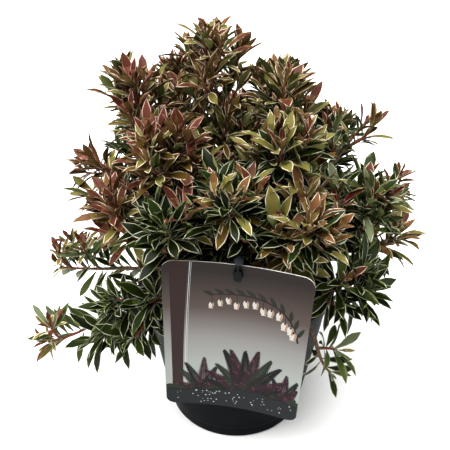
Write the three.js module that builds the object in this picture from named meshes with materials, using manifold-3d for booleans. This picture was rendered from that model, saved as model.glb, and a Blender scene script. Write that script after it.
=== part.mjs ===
// Pieris shrub in a round nursery pot, with its picture label tied on in front.
// Millimetres, +Z up. The origin is the centre of the pot's flat underside, and the label faces -Y.
//
// One short stem stands in the compost and forks into boughs. Each bough ends where it enters a mass of
// foliage. A mass is one stem that goes on from its bough, twigs that branch off it in a spiral, and a
// whorl of leaves at each tip. Every mass keeps to its own share of the crown.
import * as THREE from "three";
import { mergeVertices } from "three/addons/utils/BufferGeometryUtils.js";
import Module from "manifold-3d";

const wasm = await Module();
wasm.setup();

// ---------------------------------------------------------------- driving dimensions

const GAP = 0.3; // clearance between neighbouring solids
const POT = { rim: 95, base: 68, height: 150, wall: 2, floor: 3, lipOut: 3, lipDeep: 14, edge: 2, sides: 32 };
const DRAIN = { holes: 6, radius: 5, circle: 50, sides: 8 };
const COMPOST = { belowRim: 12, crown: 3, level: 0.72 }; // level: the share of its radius that is flat
const TRUNK = { height: 64, foot: 7.5, tip: 4.6, flare: 13, flareFade: 14, leanX: -4, leanY: 5 };
const TRUNK_MESH = { sides: 10, steps: 8 };
const BOUGH = { root: 2.7, tip: 1.8, sides: 5, steps: 5, firstFork: 0.16, lastFork: 0.97 };
const KNEE = { out: 0.55, up: 0.22 }; // where a bough bends, as shares of its way out and up
const DROP = { over: 16, out: 0.72, up: 1.1 }; // the same for a bough that first has to pass over the rim
const FRONT_KNEE = 0.86; // the front centre bough turns up behind the label, where the tie holds it
const MASS = { entry: 0.56, rise: 0.45, follow: 0.5, outward: 160, sides: 5, steps: 3 };
const CORE = { radius: 0.44, sides: 6, rings: 4 }; // the dense middle of a mass, as a share of its reach
const TWIG = { count: 5, root: 1.5, tip: 1, sides: 3, least: 12, lowest: 0.25, highest: 0.9, turn: 2.4 };
const TWIG_TILT = { first: 98, last: 52 }; // degrees from the mass's stem
const TWIG_LIFT = 0.35; // how far the outer half of a twig turns towards the way the mass grows
const TWIG_VARY = { least: 0.95, more: 0.2 }; // a twig's length by chance, as a share of the longest
const TWIG_LENGTHS = [1, 0.8, 0.62]; // tried in turn, where the room is short
const LEAF_ROOM = { twig: 0.6, stem: 0.06 }; // kept free in the reach past a twig, and past the stem more
const LEAF = { length: 36, width: 12, thick: 0.9, arch: 0.1, broadest: 0.55, sunk: 0.35, probes: [0.3, 0.8] };
const WHORL = { leaves: 5, spread: 60, young: 22, vary: 20, apart: 1.1, below: 0.7 };
const LEAF_LENGTHS = { old: [1, 0.84, 0.7], young: [0.7, 0.55] };
const SEED = { first: 1000, step: 77 };
const LABEL = { width: 117, height: 165, thick: 0.8, corner: 9, bow: 6, at: [-3.4, -99, 148], bends: 10 };
const LABEL_TURN = { lean: 5.4, roll: -2.5, yaw: -9.5 }; // degrees
const CORNER_SIDES = 20; // of the full circle that each of the label's corners is part of
const TIE = { hole: 4, below: 9, strap: 1, head: [6.5, 3.2, 10], ball: 4, sides: 6, steps: 42 };
const TIE_LOOP = { held: 0.4, slack: 0.8, turns: [110, 65, 0, -65, -110], behind: 3, above: 4 };
const TIE_ROOM = { side: 9, above: 16, behind: 42 }; // kept free of leaves round the tie

const COMPOST_TOP = POT.height - COMPOST.belowRim;

// The crown: where the middle of each mass lies, and how far its leaves reach from there. A flat mass
// reaches less far up and down than it does sideways.
const CROWN = [
  { name: "top", at: [-20, 0, 351], reach: 42 },
  { name: "upper_left", at: [-80, -8, 320], reach: 42 },
  { name: "upper_right", at: [36, 0, 311], reach: 42 },
  { name: "upper_front_left", at: [-52, -52, 286], reach: 44 },
  { name: "upper_front_right", at: [34, -54, 286], reach: 46 },
  { name: "upper_back_left", at: [-48, 72, 298], reach: 46 },
  { name: "upper_back_right", at: [38, 76, 293], reach: 46 },
  { name: "shoulder_left", at: [-111, 12, 251], reach: 45 },
  { name: "shoulder_right", at: [99, 18, 279], reach: 40 },
  { name: "right", at: [134, 26, 216], reach: 42 },
  { name: "middle_left", at: [-91, -52, 237], reach: 41 },
  { name: "middle_right", at: [98, -46, 242], reach: 43 },
  { name: "front_left", at: [-50, -88, 243], reach: 42 },
  { name: "front_centre", at: [-6, -86, 262], reach: 39 },
  { name: "front_right", at: [44, -88, 243], reach: 44 },
  { name: "back_left", at: [-90, 94, 240], reach: 47 },
  { name: "back", at: [0, 122, 246], reach: 47 },
  { name: "back_right", at: [88, 98, 240], reach: 47 },
  { name: "low_left", at: [-134, -12, 168], reach: 47, flat: 0.8 },
  { name: "low_left_spray", at: [-130, -80, 150], reach: 48, flat: 0.7 },
  { name: "low_front_left", at: [-83, -78, 160], reach: 43 },
  { name: "low_front_right", at: [86, -75, 182], reach: 42 },
  { name: "low_right_spray", at: [71, -97, 121], reach: 31 },
  { name: "low_right", at: [126, -22, 187], reach: 44 },
  { name: "low_back_left", at: [-92, 88, 178], reach: 45 },
  { name: "low_back", at: [0, 120, 180], reach: 45 },
  { name: "low_back_right", at: [94, 86, 176], reach: 45 },
];

const COLOURS = {
  pot: 0x1d2226,
  compost: 0x2b211a,
  bark: 0x4a3526,
  label: 0x8b8481,
  tie: 0x1a1b1d,
  leaves: [0x3f5a2c, 0x4d5f30, 0x6d5a33, 0x7c5236, 0x8a4b3c],
};

// ---------------------------------------------------------------- numbers and vectors

const vec = (x, y, z) => new THREE.Vector3(x, y, z);
const UP = vec(0, 0, 1);
const rad = THREE.MathUtils.degToRad;
const GOLDEN = rad(137.508);

// A seeded source of numbers from 0 to 1 (mulberry32).
function seeded(seed) {
  let state = seed >>> 0;
  return () => {
    state = (state + 0x6d2b79f5) >>> 0;
    let t = state;
    t = Math.imul(t ^ (t >>> 15), t | 1);
    t ^= t + Math.imul(t ^ (t >>> 7), t | 61);
    return ((t ^ (t >>> 14)) >>> 0) / 4294967296;
  };
}

// Two unit vectors square to direction and to each other.
function squareTo(direction) {
  const other = Math.abs(direction.z) < 0.9 ? UP : vec(1, 0, 0);
  const side = other.clone().cross(direction).normalize();
  return [side, direction.clone().cross(side).normalize()];
}

// A unit vector that leans away from axis by tilt, in the direction turn round it.
function leaning(axis, tilt, turn) {
  const [side, across] = squareTo(axis);
  return axis
    .clone()
    .multiplyScalar(Math.cos(tilt))
    .addScaledVector(side, Math.sin(tilt) * Math.cos(turn))
    .addScaledVector(across, Math.sin(tilt) * Math.sin(turn))
    .normalize();
}

// ---------------------------------------------------------------- solids

function solidOf(geometry) {
  geometry.deleteAttribute("normal");
  geometry.deleteAttribute("uv");
  const merged = mergeVertices(geometry, 1e-4);
  return new wasm.Manifold(
    new wasm.Mesh({
      numProp: 3,
      vertProperties: new Float32Array(merged.attributes.position.array),
      triVerts: new Uint32Array(merged.index.array),
    }),
  );
}

function geometryOf(solid) {
  const mesh = solid.getMesh();
  const geometry = new THREE.BufferGeometry();
  geometry.setAttribute("position", new THREE.BufferAttribute(new Float32Array(mesh.vertProperties), 3));
  geometry.setIndex(new THREE.BufferAttribute(new Uint32Array(mesh.triVerts), 1));
  geometry.computeVertexNormals();
  return geometry;
}

// The same solid with every corner moved to a grid of a thousandth of a millimetre, or null where two
// of its surfaces then meet along one edge.
function onGrid(solid) {
  const geometry = geometryOf(solid);
  const place = geometry.attributes.position;
  for (let i = 0; i < place.array.length; i++) place.array[i] = Math.round(place.array[i] * 1000) / 1000;
  geometry.deleteAttribute("normal");
  const merged = mergeVertices(geometry, 1e-4);
  const index = merged.index.array;
  const triangles = [];
  const edges = new Map();
  for (let i = 0; i < index.length; i += 3) {
    const corners = [index[i], index[i + 1], index[i + 2]];
    if (new Set(corners).size < 3) continue;
    triangles.push(corners);
    corners.forEach((a, k) => {
      const b = corners[(k + 1) % 3];
      const edge = Math.min(a, b) + "-" + Math.max(a, b);
      edges.set(edge, (edges.get(edge) || 0) + 1);
    });
  }
  if ([...edges.values()].some((count) => count !== 2)) return null;
  merged.setIndex(triangles.flat());
  return solidOf(merged);
}

// Pieces fused one after another into one body. A piece that doesn't meet the rest cleanly is left out.
function fused(pieces) {
  const whole = pieces.slice(1).reduce((sofar, piece) => {
    const next = sofar.add(piece);
    const clean = onGrid(next);
    return clean && clean.decompose().length === 1 ? next : sofar;
  }, pieces[0]);
  return onGrid(whole);
}

// The largest of a solid's separate bodies: cutting can leave a loose scrap behind.
function largestBody(solid) {
  return solid.decompose().sort((a, b) => b.volume() - a.volume())[0];
}

function geometryFrom(points, triangles) {
  const geometry = new THREE.BufferGeometry();
  const flat = points.flatMap((p) => [p.x, p.y, p.z]);
  geometry.setAttribute("position", new THREE.BufferAttribute(new Float32Array(flat), 3));
  geometry.setIndex(triangles.flat());
  return geometry;
}

// A closed tube along a curve: a ring of points at each station, and a flat fan at each end.
function tube(curve, radiusAt, sides, steps) {
  const frames = curve.computeFrenetFrames(steps, false);
  const points = [];
  const triangles = [];
  for (let i = 0; i <= steps; i++) {
    const share = i / steps;
    const centre = curve.getPointAt(share);
    for (let j = 0; j < sides; j++) {
      const turn = (2 * Math.PI * j) / sides;
      points.push(
        centre
          .clone()
          .addScaledVector(frames.normals[i], radiusAt(share) * Math.cos(turn))
          .addScaledVector(frames.binormals[i], radiusAt(share) * Math.sin(turn)),
      );
    }
  }
  for (let i = 0; i < steps; i++) {
    for (let j = 0; j < sides; j++) {
      const next = (j + 1) % sides;
      const [a, b] = [i * sides + j, i * sides + next];
      const [c, d] = [b + sides, a + sides];
      triangles.push([a, b, c], [a, c, d]);
    }
  }
  const last = steps * sides;
  for (let j = 1; j < sides - 1; j++) {
    triangles.push([0, j + 1, j], [last, last + j, last + j + 1]);
  }
  return solidOf(geometryFrom(points, triangles));
}

// A solid of revolution about Z from [radius, height] pairs.
function turned(profile, sides) {
  const outline = profile.map(([radius, height]) => new THREE.Vector2(radius, height));
  return solidOf(new THREE.LatheGeometry(outline, sides).rotateX(Math.PI / 2));
}

// ---------------------------------------------------------------- pot and compost

const potOuter = (z) => POT.base + ((POT.rim - POT.lipOut - POT.base) * z) / POT.height;

function makePot() {
  const { base, height, wall, floor, lipOut, lipDeep, rim, edge } = POT;
  const lipBottom = height - lipDeep;
  const profile = [
    [0, 0],
    [base - edge, 0],
    [base, edge],
    [potOuter(lipBottom), lipBottom],
    [potOuter(lipBottom) + lipOut, lipBottom + edge],
    [rim, height - edge / 2],
    [rim - edge / 2, height],
    [potOuter(height) - wall, height],
    [potOuter(floor) - wall, floor],
    [0, floor],
  ];
  let pot = turned(profile, POT.sides);
  for (let k = 0; k < DRAIN.holes; k++) {
    const turn = (2 * Math.PI * (k + 0.5)) / DRAIN.holes;
    const hole = new THREE.CylinderGeometry(DRAIN.radius, DRAIN.radius, 3 * floor, DRAIN.sides)
      .rotateX(Math.PI / 2)
      .translate(DRAIN.circle * Math.cos(turn), DRAIN.circle * Math.sin(turn), floor / 2);
    pot = pot.subtract(solidOf(hole));
  }
  return pot;
}

function makeCompost() {
  const { wall, floor, height } = POT;
  const bottom = floor + GAP;
  const edge = (z) => potOuter(z) - wall - 1.2 * GAP;
  const profile = [
    [0, bottom],
    [edge(bottom), bottom],
    [edge(COMPOST_TOP - COMPOST.crown), COMPOST_TOP - COMPOST.crown],
    [edge(height) * COMPOST.level, COMPOST_TOP],
    [0, COMPOST_TOP],
  ];
  return turned(profile, POT.sides);
}

// ---------------------------------------------------------------- stem and boughs

// The stem's middle line: a slight S that leans a little. Each bend is given in shares of the lean and
// of the height.
const TRUNK_BENDS = [[0.2, 0.1, 0.35], [1, 0.6, 0.7], [0.8, 1, 1]];
const trunkCurve = new THREE.CatmullRomCurve3([
  vec(0, 0, COMPOST_TOP + GAP),
  ...TRUNK_BENDS.map(([x, y, z]) => vec(TRUNK.leanX * x, TRUNK.leanY * y, COMPOST_TOP + TRUNK.height * z)),
]);

function trunkRadius(share) {
  const taper = THREE.MathUtils.lerp(TRUNK.foot, TRUNK.tip, share);
  return taper + (TRUNK.flare - TRUNK.foot) * Math.exp(-share * TRUNK.flareFade);
}

// The foot is cut flat and level, so that it stands flat on the compost.
function makeTrunk(extra = 0) {
  const stem = tube(trunkCurve, (s) => trunkRadius(s) + extra, TRUNK_MESH.sides, TRUNK_MESH.steps);
  const size = 4 * TRUNK.flare;
  const below = new THREE.BoxGeometry(size, size, size);
  below.translate(0, 0, COMPOST_TOP + GAP - size / 2 - extra);
  return stem.subtract(solidOf(below));
}

// The route of each bough, from the stem's middle line to where it enters its mass.
// Low masses leave the stem first, and high ones last.
function planBoughs() {
  const byHeight = [...CROWN].sort((a, b) => a.at[2] - b.at[2]);
  return byHeight.map((mass, rank) => {
    const share = THREE.MathUtils.lerp(BOUGH.firstFork, BOUGH.lastFork, rank / (byHeight.length - 1));
    const start = trunkCurve.getPointAt(share);
    const centre = vec(...mass.at);
    // A bough that has to drop past the rim first goes out over it.
    const droop = Math.max(0, start.z + DROP.over - centre.z);
    const out = mass.name === "front_centre" ? FRONT_KNEE : droop > 0 ? DROP.out : KNEE.out;
    const knee = start.clone().lerp(centre, out);
    knee.z = THREE.MathUtils.lerp(start.z, centre.z, KNEE.up) + DROP.up * droop;
    const heading = centre.clone().sub(knee).normalize();
    const end = centre.clone().addScaledVector(heading, -MASS.entry * mass.reach);
    const curve = new THREE.QuadraticBezierCurve3(start, knee, end);
    return { flat: 1, ...mass, centre, heading, end, curve };
  });
}

const boughRadius = (share) => THREE.MathUtils.lerp(BOUGH.root, BOUGH.tip, share);
const boughs = planBoughs();

function boughTube(bough, extra) {
  return tube(bough.curve, (s) => boughRadius(s) + extra, BOUGH.sides, BOUGH.steps);
}

const grownBoughs = boughs.map((bough) => boughTube(bough, 2 * GAP));

// Each bough starts clear of the stem and of the boughs that leave it lower down.
function makeBoughs() {
  const stem = makeTrunk(2 * GAP);
  return boughs.map((bough, rank) => {
    const lower = [stem, ...grownBoughs.slice(0, rank)];
    return largestBody(lower.reduce((limb, other) => limb.subtract(other), boughTube(bough, 0)));
  });
}

// ---------------------------------------------------------------- label and tie

const labelFrame = new THREE.Matrix4().compose(
  vec(...LABEL.at),
  new THREE.Quaternion().setFromEuler(
    new THREE.Euler(rad(LABEL_TURN.lean), rad(-LABEL_TURN.roll), rad(LABEL_TURN.yaw), "ZXY"),
  ),
  vec(1, 1, 1),
);
const fromLabel = labelFrame.clone().invert();
const holeHeight = LABEL.height / 2 - TIE.below;
const bowAt = (x) => -LABEL.bow * ((2 * x) / LABEL.width) ** 2;

// The card bows, so that its upright edges stand forward of its middle.
function makeLabel() {
  const { width, height, thick, corner } = LABEL;
  const card = new THREE.BoxGeometry(width, thick, height, LABEL.bends, 1, 1);
  const place = card.attributes.position;
  for (let i = 0; i < place.count; i++) place.setY(i, place.getY(i) + bowAt(place.getX(i)));
  let label = solidOf(card);
  const deep = 4 * LABEL.bow;
  for (const [sx, sz] of [[-1, -1], [-1, 1], [1, -1], [1, 1]]) {
    const [x, z] = [sx * (width / 2 - corner), sz * (height / 2 - corner)];
    const block = new THREE.BoxGeometry(2 * corner, deep, 2 * corner);
    block.translate(x + sx * corner, 0, z + sz * corner);
    const round = new THREE.CylinderGeometry(corner, corner, 2 * deep, CORNER_SIDES).translate(x, 0, z);
    label = label.subtract(solidOf(block).subtract(solidOf(round)));
  }
  const hole = new THREE.CylinderGeometry(TIE.hole, TIE.hole, deep, 2 * TIE.sides);
  hole.translate(0, 0, holeHeight);
  return solidOf(geometryOf(label.subtract(solidOf(hole))).applyMatrix4(labelFrame));
}

// The tie: a head in front of the hole, and a strap that goes back through the hole, round the bough
// behind, and forward again through a ball above the card's top edge.
function makeTie() {
  const { curve } = boughs.find((bough) => bough.name === "front_centre");
  const [lower, upper] = [curve.getPointAt(1 - 1 / BOUGH.steps), curve.getPointAt(1)];
  const held = lower.clone().lerp(upper, TIE_LOOP.held);
  const along = upper.clone().sub(lower).normalize();
  const behind = vec(0, 1, 0).addScaledVector(along, -along.y).normalize();
  const side = along.clone().cross(behind);
  const room = boughRadius(1 - 1 / BOUGH.steps) + TIE.strap + TIE_LOOP.slack;
  const around = TIE_LOOP.turns.map((turn) =>
    held
      .clone()
      .addScaledVector(behind, room * Math.cos(rad(turn)))
      .addScaledVector(side, room * Math.sin(rad(turn))),
  );
  const local = (x, y, z) => vec(x, y, z).applyMatrix4(labelFrame);
  const front = -LABEL.thick / 2 - TIE.head[1] / 2 - GAP;
  const overCard = LABEL.height / 2 + TIE_LOOP.above;
  const route = [
    local(0, front, holeHeight),
    local(0, LABEL.thick + TIE_LOOP.behind, holeHeight),
    ...around,
    local(0, LABEL.thick + TIE_LOOP.above, overCard),
    local(0, front - TIE.strap, overCard),
    local(0, front, holeHeight + 2 * TIE.strap),
  ];
  const corners = Array.from({ length: TIE.sides }, (_, k) => {
    const turn = (2 * Math.PI * k) / TIE.sides;
    return new THREE.Vector2(TIE.strap * Math.cos(turn), TIE.strap * Math.sin(turn));
  });
  const section = new THREE.Shape(corners);
  const extrudePath = new THREE.CatmullRomCurve3(route, false, "centripetal");
  const strap = solidOf(new THREE.ExtrudeGeometry(section, { steps: TIE.steps, extrudePath }));
  const head = new THREE.BoxGeometry(...TIE.head).translate(0, front, holeHeight);
  const ballHeight = LABEL.height / 2 + TIE.ball + 2 * GAP;
  const ball = new THREE.IcosahedronGeometry(TIE.ball, 1).translate(0, -TIE.strap, ballHeight);
  return [head, ball].reduce((all, piece) => all.add(solidOf(piece.applyMatrix4(labelFrame))), strap);
}

// ---------------------------------------------------------------- foliage

const SAMPLES_A_STEP = 6;

// Points along the middle of each bough as it is built, with its radius there.
const boughSamples = boughs.map(({ curve }) => {
  const stations = Array.from({ length: BOUGH.steps + 1 }, (_, i) => curve.getPointAt(i / BOUGH.steps));
  const count = SAMPLES_A_STEP * BOUGH.steps;
  return Array.from({ length: count + 1 }, (_, i) => {
    const step = Math.min(Math.floor(i / SAMPLES_A_STEP), BOUGH.steps - 1);
    const at = stations[step].clone().lerp(stations[step + 1], i / SAMPLES_A_STEP - step);
    return { at, radius: boughRadius(i / count) };
  });
});

function clearOfLimbs(point, own, room) {
  return boughSamples.every((samples, index) => {
    const needed = index === own ? 0 : room;
    return samples.every((s) => point.distanceTo(s.at) > s.radius + needed);
  });
}

// Clear of the pot, the compost, and the label with the view in front of it.
function clearOfPotAndLabel(point, room) {
  const from = Math.hypot(point.x, point.y);
  if (point.z < POT.height + room && from < POT.rim + room) return false;
  if (point.z < room) return false;
  const p = point.clone().applyMatrix4(fromLabel);
  const beside = Math.abs(p.x) > LABEL.width / 2 + room || Math.abs(p.z) > LABEL.height / 2 + room;
  if (!beside && p.y < room + 1) return false;
  const atHole = Math.abs(p.x) < TIE_ROOM.side && Math.abs(p.z - holeHeight) < TIE_ROOM.above;
  return !(atHole && p.y < TIE_ROOM.behind);
}

// How far inside its own share of the crown a point lies: every mass has the points that are nearer
// to its middle than to any other's, counted in the masses' own reaches, and within its reach.
function depthInOwnSpace(point, own) {
  const mine = boughs[own];
  const power = (mass) => point.distanceToSquared(mass.centre) - mass.reach ** 2;
  const from = point.clone().sub(mine.centre);
  from.z /= mine.flat;
  let depth = mine.reach - from.length();
  boughs.forEach((other, index) => {
    if (index === own) return;
    const apart = mine.centre.distanceTo(other.centre);
    depth = Math.min(depth, (power(other) - power(mine)) / (2 * apart));
  });
  return depth;
}

function keepsClear(points, own, room) {
  const off = room + 1;
  return points.every(
    (p) => depthInOwnSpace(p, own) > room && clearOfLimbs(p, own, off) && clearOfPotAndLabel(p, off),
  );
}

// A leaf of six faces: a ridge along the middle, pointed at both ends, arching over towards its tip.
// Its root lies beyond the twig's middle, so that it grows out of the wood at full strength.
function leafPoints(root, direction, upper, length) {
  const side = direction.clone().cross(upper).normalize();
  const broadest = root
    .clone()
    .addScaledVector(direction, length * LEAF.broadest)
    .addScaledVector(upper, length * LEAF.arch);
  const width = (LEAF.width * length) / LEAF.length / 2;
  return [
    root.clone().addScaledVector(direction, -LEAF.sunk),
    root.clone().addScaledVector(direction, length),
    broadest.clone().addScaledVector(side, -width),
    broadest.clone().addScaledVector(side, width),
    broadest.clone().addScaledVector(upper, LEAF.thick),
  ];
}

const LEAF_FACES = [[0, 4, 2], [0, 3, 4], [1, 2, 4], [1, 4, 3], [0, 2, 3], [1, 3, 2]];

// The leaves round one tip, each a little higher on the twig than the last, and the youngest upright.
// One that would leave the mass's space or cross another leaf is tried shorter, then skipped.
function whorl(tip, axis, own, random, leaves) {
  const turn = 2 * Math.PI * random();
  for (let k = 0; k < WHORL.leaves; k++) {
    const youngest = k === WHORL.leaves - 1;
    const tilt = rad((youngest ? WHORL.young : WHORL.spread) + WHORL.vary * (random() - 0.5));
    const about = turn + (2 * Math.PI * k) / WHORL.leaves + rad(WHORL.vary) * random();
    const direction = leaning(axis, tilt, about);
    const upper = axis.clone().addScaledVector(direction, -axis.dot(direction)).normalize();
    const root = tip.clone().addScaledVector(axis, -WHORL.below - WHORL.apart * (WHORL.leaves - 1 - k));
    for (const share of youngest ? LEAF_LENGTHS.young : LEAF_LENGTHS.old) {
      const points = leafPoints(root, direction, upper, LEAF.length * share);
      const midrib = LEAF.probes.map((along) => root.clone().lerp(points[1], along));
      if (!keepsClear([...points.slice(1), ...midrib], own, GAP)) continue;
      const leaf = solidOf(geometryFrom(points, LEAF_FACES));
      if (leaves.some((other) => !leaf.intersect(other).isEmpty())) continue;
      leaves.push(leaf);
      break;
    }
  }
}

// The dense middle of a mass, cut clear of every bough that passes by.
function makeCore(own) {
  const { centre, reach, flat } = boughs[own];
  const ball = new THREE.SphereGeometry(CORE.radius * reach * flat, CORE.sides, CORE.rings);
  ball.translate(...centre.toArray());
  return largestBody(grownBoughs.reduce((core, bough) => core.subtract(bough), solidOf(ball)));
}

// A twig in two straight steps: it leaves in one direction, and bends towards the way the mass grows.
// It is as long as there is room for, and null where there is none.
function planTwig(from, away, growth, longest, own) {
  for (const share of TWIG_LENGTHS) {
    const half = Math.max(TWIG.least, share * longest) / 2;
    const bend = from.clone().addScaledVector(away, half);
    const end = bend.clone().addScaledVector(away.clone().lerp(growth, TWIG_LIFT).normalize(), half);
    if (keepsClear([bend, end], own, TWIG.root + GAP)) return { from, bend, end };
  }
  return null;
}

function makeTwig({ from, bend, end }) {
  const route = new THREE.CurvePath();
  route.add(new THREE.LineCurve3(from, bend));
  route.add(new THREE.LineCurve3(bend, end));
  return tube(route, (s) => THREE.MathUtils.lerp(TWIG.root, TWIG.tip, s), TWIG.sides, 2);
}

// A mass: one stem from its bough, twigs in a spiral round it, a whorl at every tip, and a small core.
function makeMass(own) {
  const mass = boughs[own];
  const random = seeded(SEED.first + SEED.step * own);
  const outward = vec(mass.centre.x, mass.centre.y, 0).divideScalar(MASS.outward);
  const rise = MASS.rise * (2 * mass.flat - 1);
  const growth = outward.addScaledVector(mass.heading, MASS.follow).addScaledVector(UP, rise).normalize();
  const foot = mass.end.clone().addScaledVector(mass.heading, GAP);
  const longest = mass.reach - LEAF_ROOM.twig * LEAF.length;
  const upTo = longest - LEAF_ROOM.stem * LEAF.length;
  const crownTip = mass.centre.clone().addScaledVector(growth, upTo);
  const stem = new THREE.QuadraticBezierCurve3(foot, mass.centre.clone(), crownTip);
  const wood = [tube(stem, (s) => THREE.MathUtils.lerp(BOUGH.tip, TWIG.root, s), MASS.sides, MASS.steps)];
  const leaves = [];
  const atTop = crownTip.clone().sub(stem.getPointAt(1 - 1 / MASS.steps)).normalize();
  whorl(crownTip, atTop, own, random, leaves);
  for (let k = 0; k < TWIG.count; k++) {
    const from = stem.getPointAt(THREE.MathUtils.lerp(TWIG.lowest, TWIG.highest, k / TWIG.count));
    const tilt = rad(THREE.MathUtils.lerp(TWIG_TILT.first, TWIG_TILT.last, k / (TWIG.count - 1)));
    const away = leaning(growth, tilt, GOLDEN * k + TWIG.turn * own);
    const long = longest * (TWIG_VARY.least + TWIG_VARY.more * random());
    const twig = planTwig(from, away, growth, long, own);
    if (!twig) continue;
    wood.push(makeTwig(twig));
    whorl(twig.end, twig.end.clone().sub(twig.bend).normalize(), own, random, leaves);
  }
  wood.push(makeCore(own));
  return fused([...wood, ...leaves]);
}

// ---------------------------------------------------------------- assembly

const shrub = new THREE.Group();
shrub.name = "pieris_shrub";

function place(name, solid, color, roughness) {
  const material = new THREE.MeshStandardMaterial({ color, roughness, metalness: 0 });
  const mesh = new THREE.Mesh(geometryOf(solid), material);
  mesh.name = name;
  shrub.add(mesh);
}

place("pot", makePot(), COLOURS.pot, 0.45);
place("compost", makeCompost(), COLOURS.compost, 0.95);
place("stem", makeTrunk(), COLOURS.bark, 0.85);
makeBoughs().forEach((limb, i) => place("bough_" + boughs[i].name, limb, COLOURS.bark, 0.8));
place("label", makeLabel(), COLOURS.label, 0.3);
place("label_tie", makeTie(), COLOURS.tie, 0.4);
boughs.forEach((mass, i) => {
  const tint = COLOURS.leaves[(i * 3) % COLOURS.leaves.length];
  place("foliage_" + mass.name, makeMass(i), tint, 0.5);
});

export default shrub;
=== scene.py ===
"""Pieris shrub in a black nursery pot, with its picture label tied on in front.

The plant grows here by the rule of the part's source: boughs fork from one short stem, each ends in a
mass, and each mass is a stem with twigs in a spiral. Here the rule goes on to side shoots and to every
leaf. Lengths are in millimetres until a mesh is made, +Z is up, and the label faces -Y.
"""

import math

import bmesh
import bpy
import numpy as np
from mathutils import Euler, Matrix, Vector


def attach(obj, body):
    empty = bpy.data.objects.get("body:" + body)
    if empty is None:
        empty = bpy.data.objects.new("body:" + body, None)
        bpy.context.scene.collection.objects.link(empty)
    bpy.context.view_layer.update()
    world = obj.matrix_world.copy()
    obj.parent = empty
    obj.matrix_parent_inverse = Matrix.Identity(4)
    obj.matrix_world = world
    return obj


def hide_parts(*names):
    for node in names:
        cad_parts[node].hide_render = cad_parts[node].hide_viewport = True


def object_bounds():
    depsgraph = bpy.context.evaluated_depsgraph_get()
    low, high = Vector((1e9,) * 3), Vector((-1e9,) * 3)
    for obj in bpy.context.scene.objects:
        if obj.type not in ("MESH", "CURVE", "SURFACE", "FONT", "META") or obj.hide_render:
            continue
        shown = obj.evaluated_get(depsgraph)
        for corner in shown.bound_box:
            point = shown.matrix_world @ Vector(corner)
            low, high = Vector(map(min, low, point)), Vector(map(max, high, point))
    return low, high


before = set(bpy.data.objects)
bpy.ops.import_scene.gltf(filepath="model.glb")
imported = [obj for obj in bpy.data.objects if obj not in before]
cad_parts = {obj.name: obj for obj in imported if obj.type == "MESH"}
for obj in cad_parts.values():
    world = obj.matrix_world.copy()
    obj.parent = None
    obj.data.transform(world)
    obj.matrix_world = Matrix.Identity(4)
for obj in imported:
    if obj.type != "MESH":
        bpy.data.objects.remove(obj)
cad_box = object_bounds()

# ---------------------------------------------------------------- driving dimensions

MM = 0.001
POT = {"rim": 95, "base": 68, "height": 150, "wall": 2, "floor": 3, "lip_out": 3, "lip_deep": 14, "heel": 2.2}
POT_STEPS = ((14, 0.5), (15, 0), (104, 0), (105, 0))  # heights on the wall, and how far it is drawn in there
DRAIN = {"holes": 6, "radius": 5, "circle": 50}
COMPOST = {"below_rim": 12, "crown": 3, "level": 0.72, "gap": 0.36}  # level as far as this share of the rim
CRUMBS = {"count": 900, "chip_every": 6, "none_within": 10}
COMPOST_TOP = POT["height"] - COMPOST["below_rim"]
TRUNK = {"height": 64, "flare": 13, "foot": 7.5, "tip": 4.6, "lean": (-4, 5), "flare_fade": 14}
TRUNK_BARK = {"sides": 36, "steps": 110, "scar_every": 11}
BOUGH = {"root": 2.7, "tip": 1.8, "first_fork": 0.16, "last_fork": 0.97}
BOUGH_BARK = {"sides": 12, "step": 1.6, "scar_every": 7}
KNEE = {"out": 0.55, "up": 0.22}  # where a bough bends, as shares of its way out and up
DROP = {"over": 16, "out": 0.72, "up": 1.1}  # the same for a bough that first has to pass over the rim
FRONT_KNEE = 0.86  # the front centre bough turns up behind the label, where the tie holds it
MASS = {"entry": 0.56, "rise": 0.45, "follow": 0.5, "outward": 160, "lifted": ((150, 240), (0.1, 1))}
# How much some masses turn up, against the others: under 1 they arch outwards, and under 0 they hang.
ARCHING = {
    "top": 1.8,
    "upper_right": 1.8,
    "shoulder_left": -0.1,
    "shoulder_right": 1.6,
    "right": 0.3,
    "low_front_left": 0.3,
    "low_right": 3.2,
}
CORE = {"at": (0, 10, 245), "reach": (105, 95, 92)}  # the crown's inside, which the boughs cross
# A long arching shoot with narrow leaves, in place of a mass.
SPRAY = {"sag": 20, "tip_inside": 15, "tip_over": 12, "twig_long": 0.72}
# The twigs of a mass: where along its stem they start, how the spiral turns on from mass to mass, their
# length as a share of its reach, and how far they tilt low on a full mass, low on a thin one and at the top.
TWIG = {"from": 0.06, "span": 0.66, "turn": 2.4, "long": 0.86}
TWIG_TILT = {"full": 88, "thin": 62, "top": 34}
SHOOT = {"least": 12, "inside": 11, "lengths": (1, 0.82, 0.66), "bend": 0.75, "probes": (0.35, 0.7, 1)}
SIDE_SHOOT = {"places": ((0.34, 0), (0.58, math.pi)), "share": 0.62, "tilt": 46}
SPUR = {"places": (0.32, 0.39, 0.46, 0.53, 0.6, 0.67, 0.74, 0.81, 0.88, 0.95), "long": 34, "tilt": 62}
SPURS_LEFT_OUT = 4  # on the bough of a mass of few twigs
# The wood of each kind of shoot: its radii at root and tip, its steps and sides, and the share of its
# length from which it has the red skin of this year's growth.
WOOD = {
    "stem": ((1.8, 0.8), 13, 7, 0.6),
    "twig": ((1.5, 0.8), 8, 6, 0.35),
    "side_shoot": ((1.0, 0.6), 8, 5, 0),
    "spur": ((1.0, 0.6), 6, 5, 0.5),
}
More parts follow.
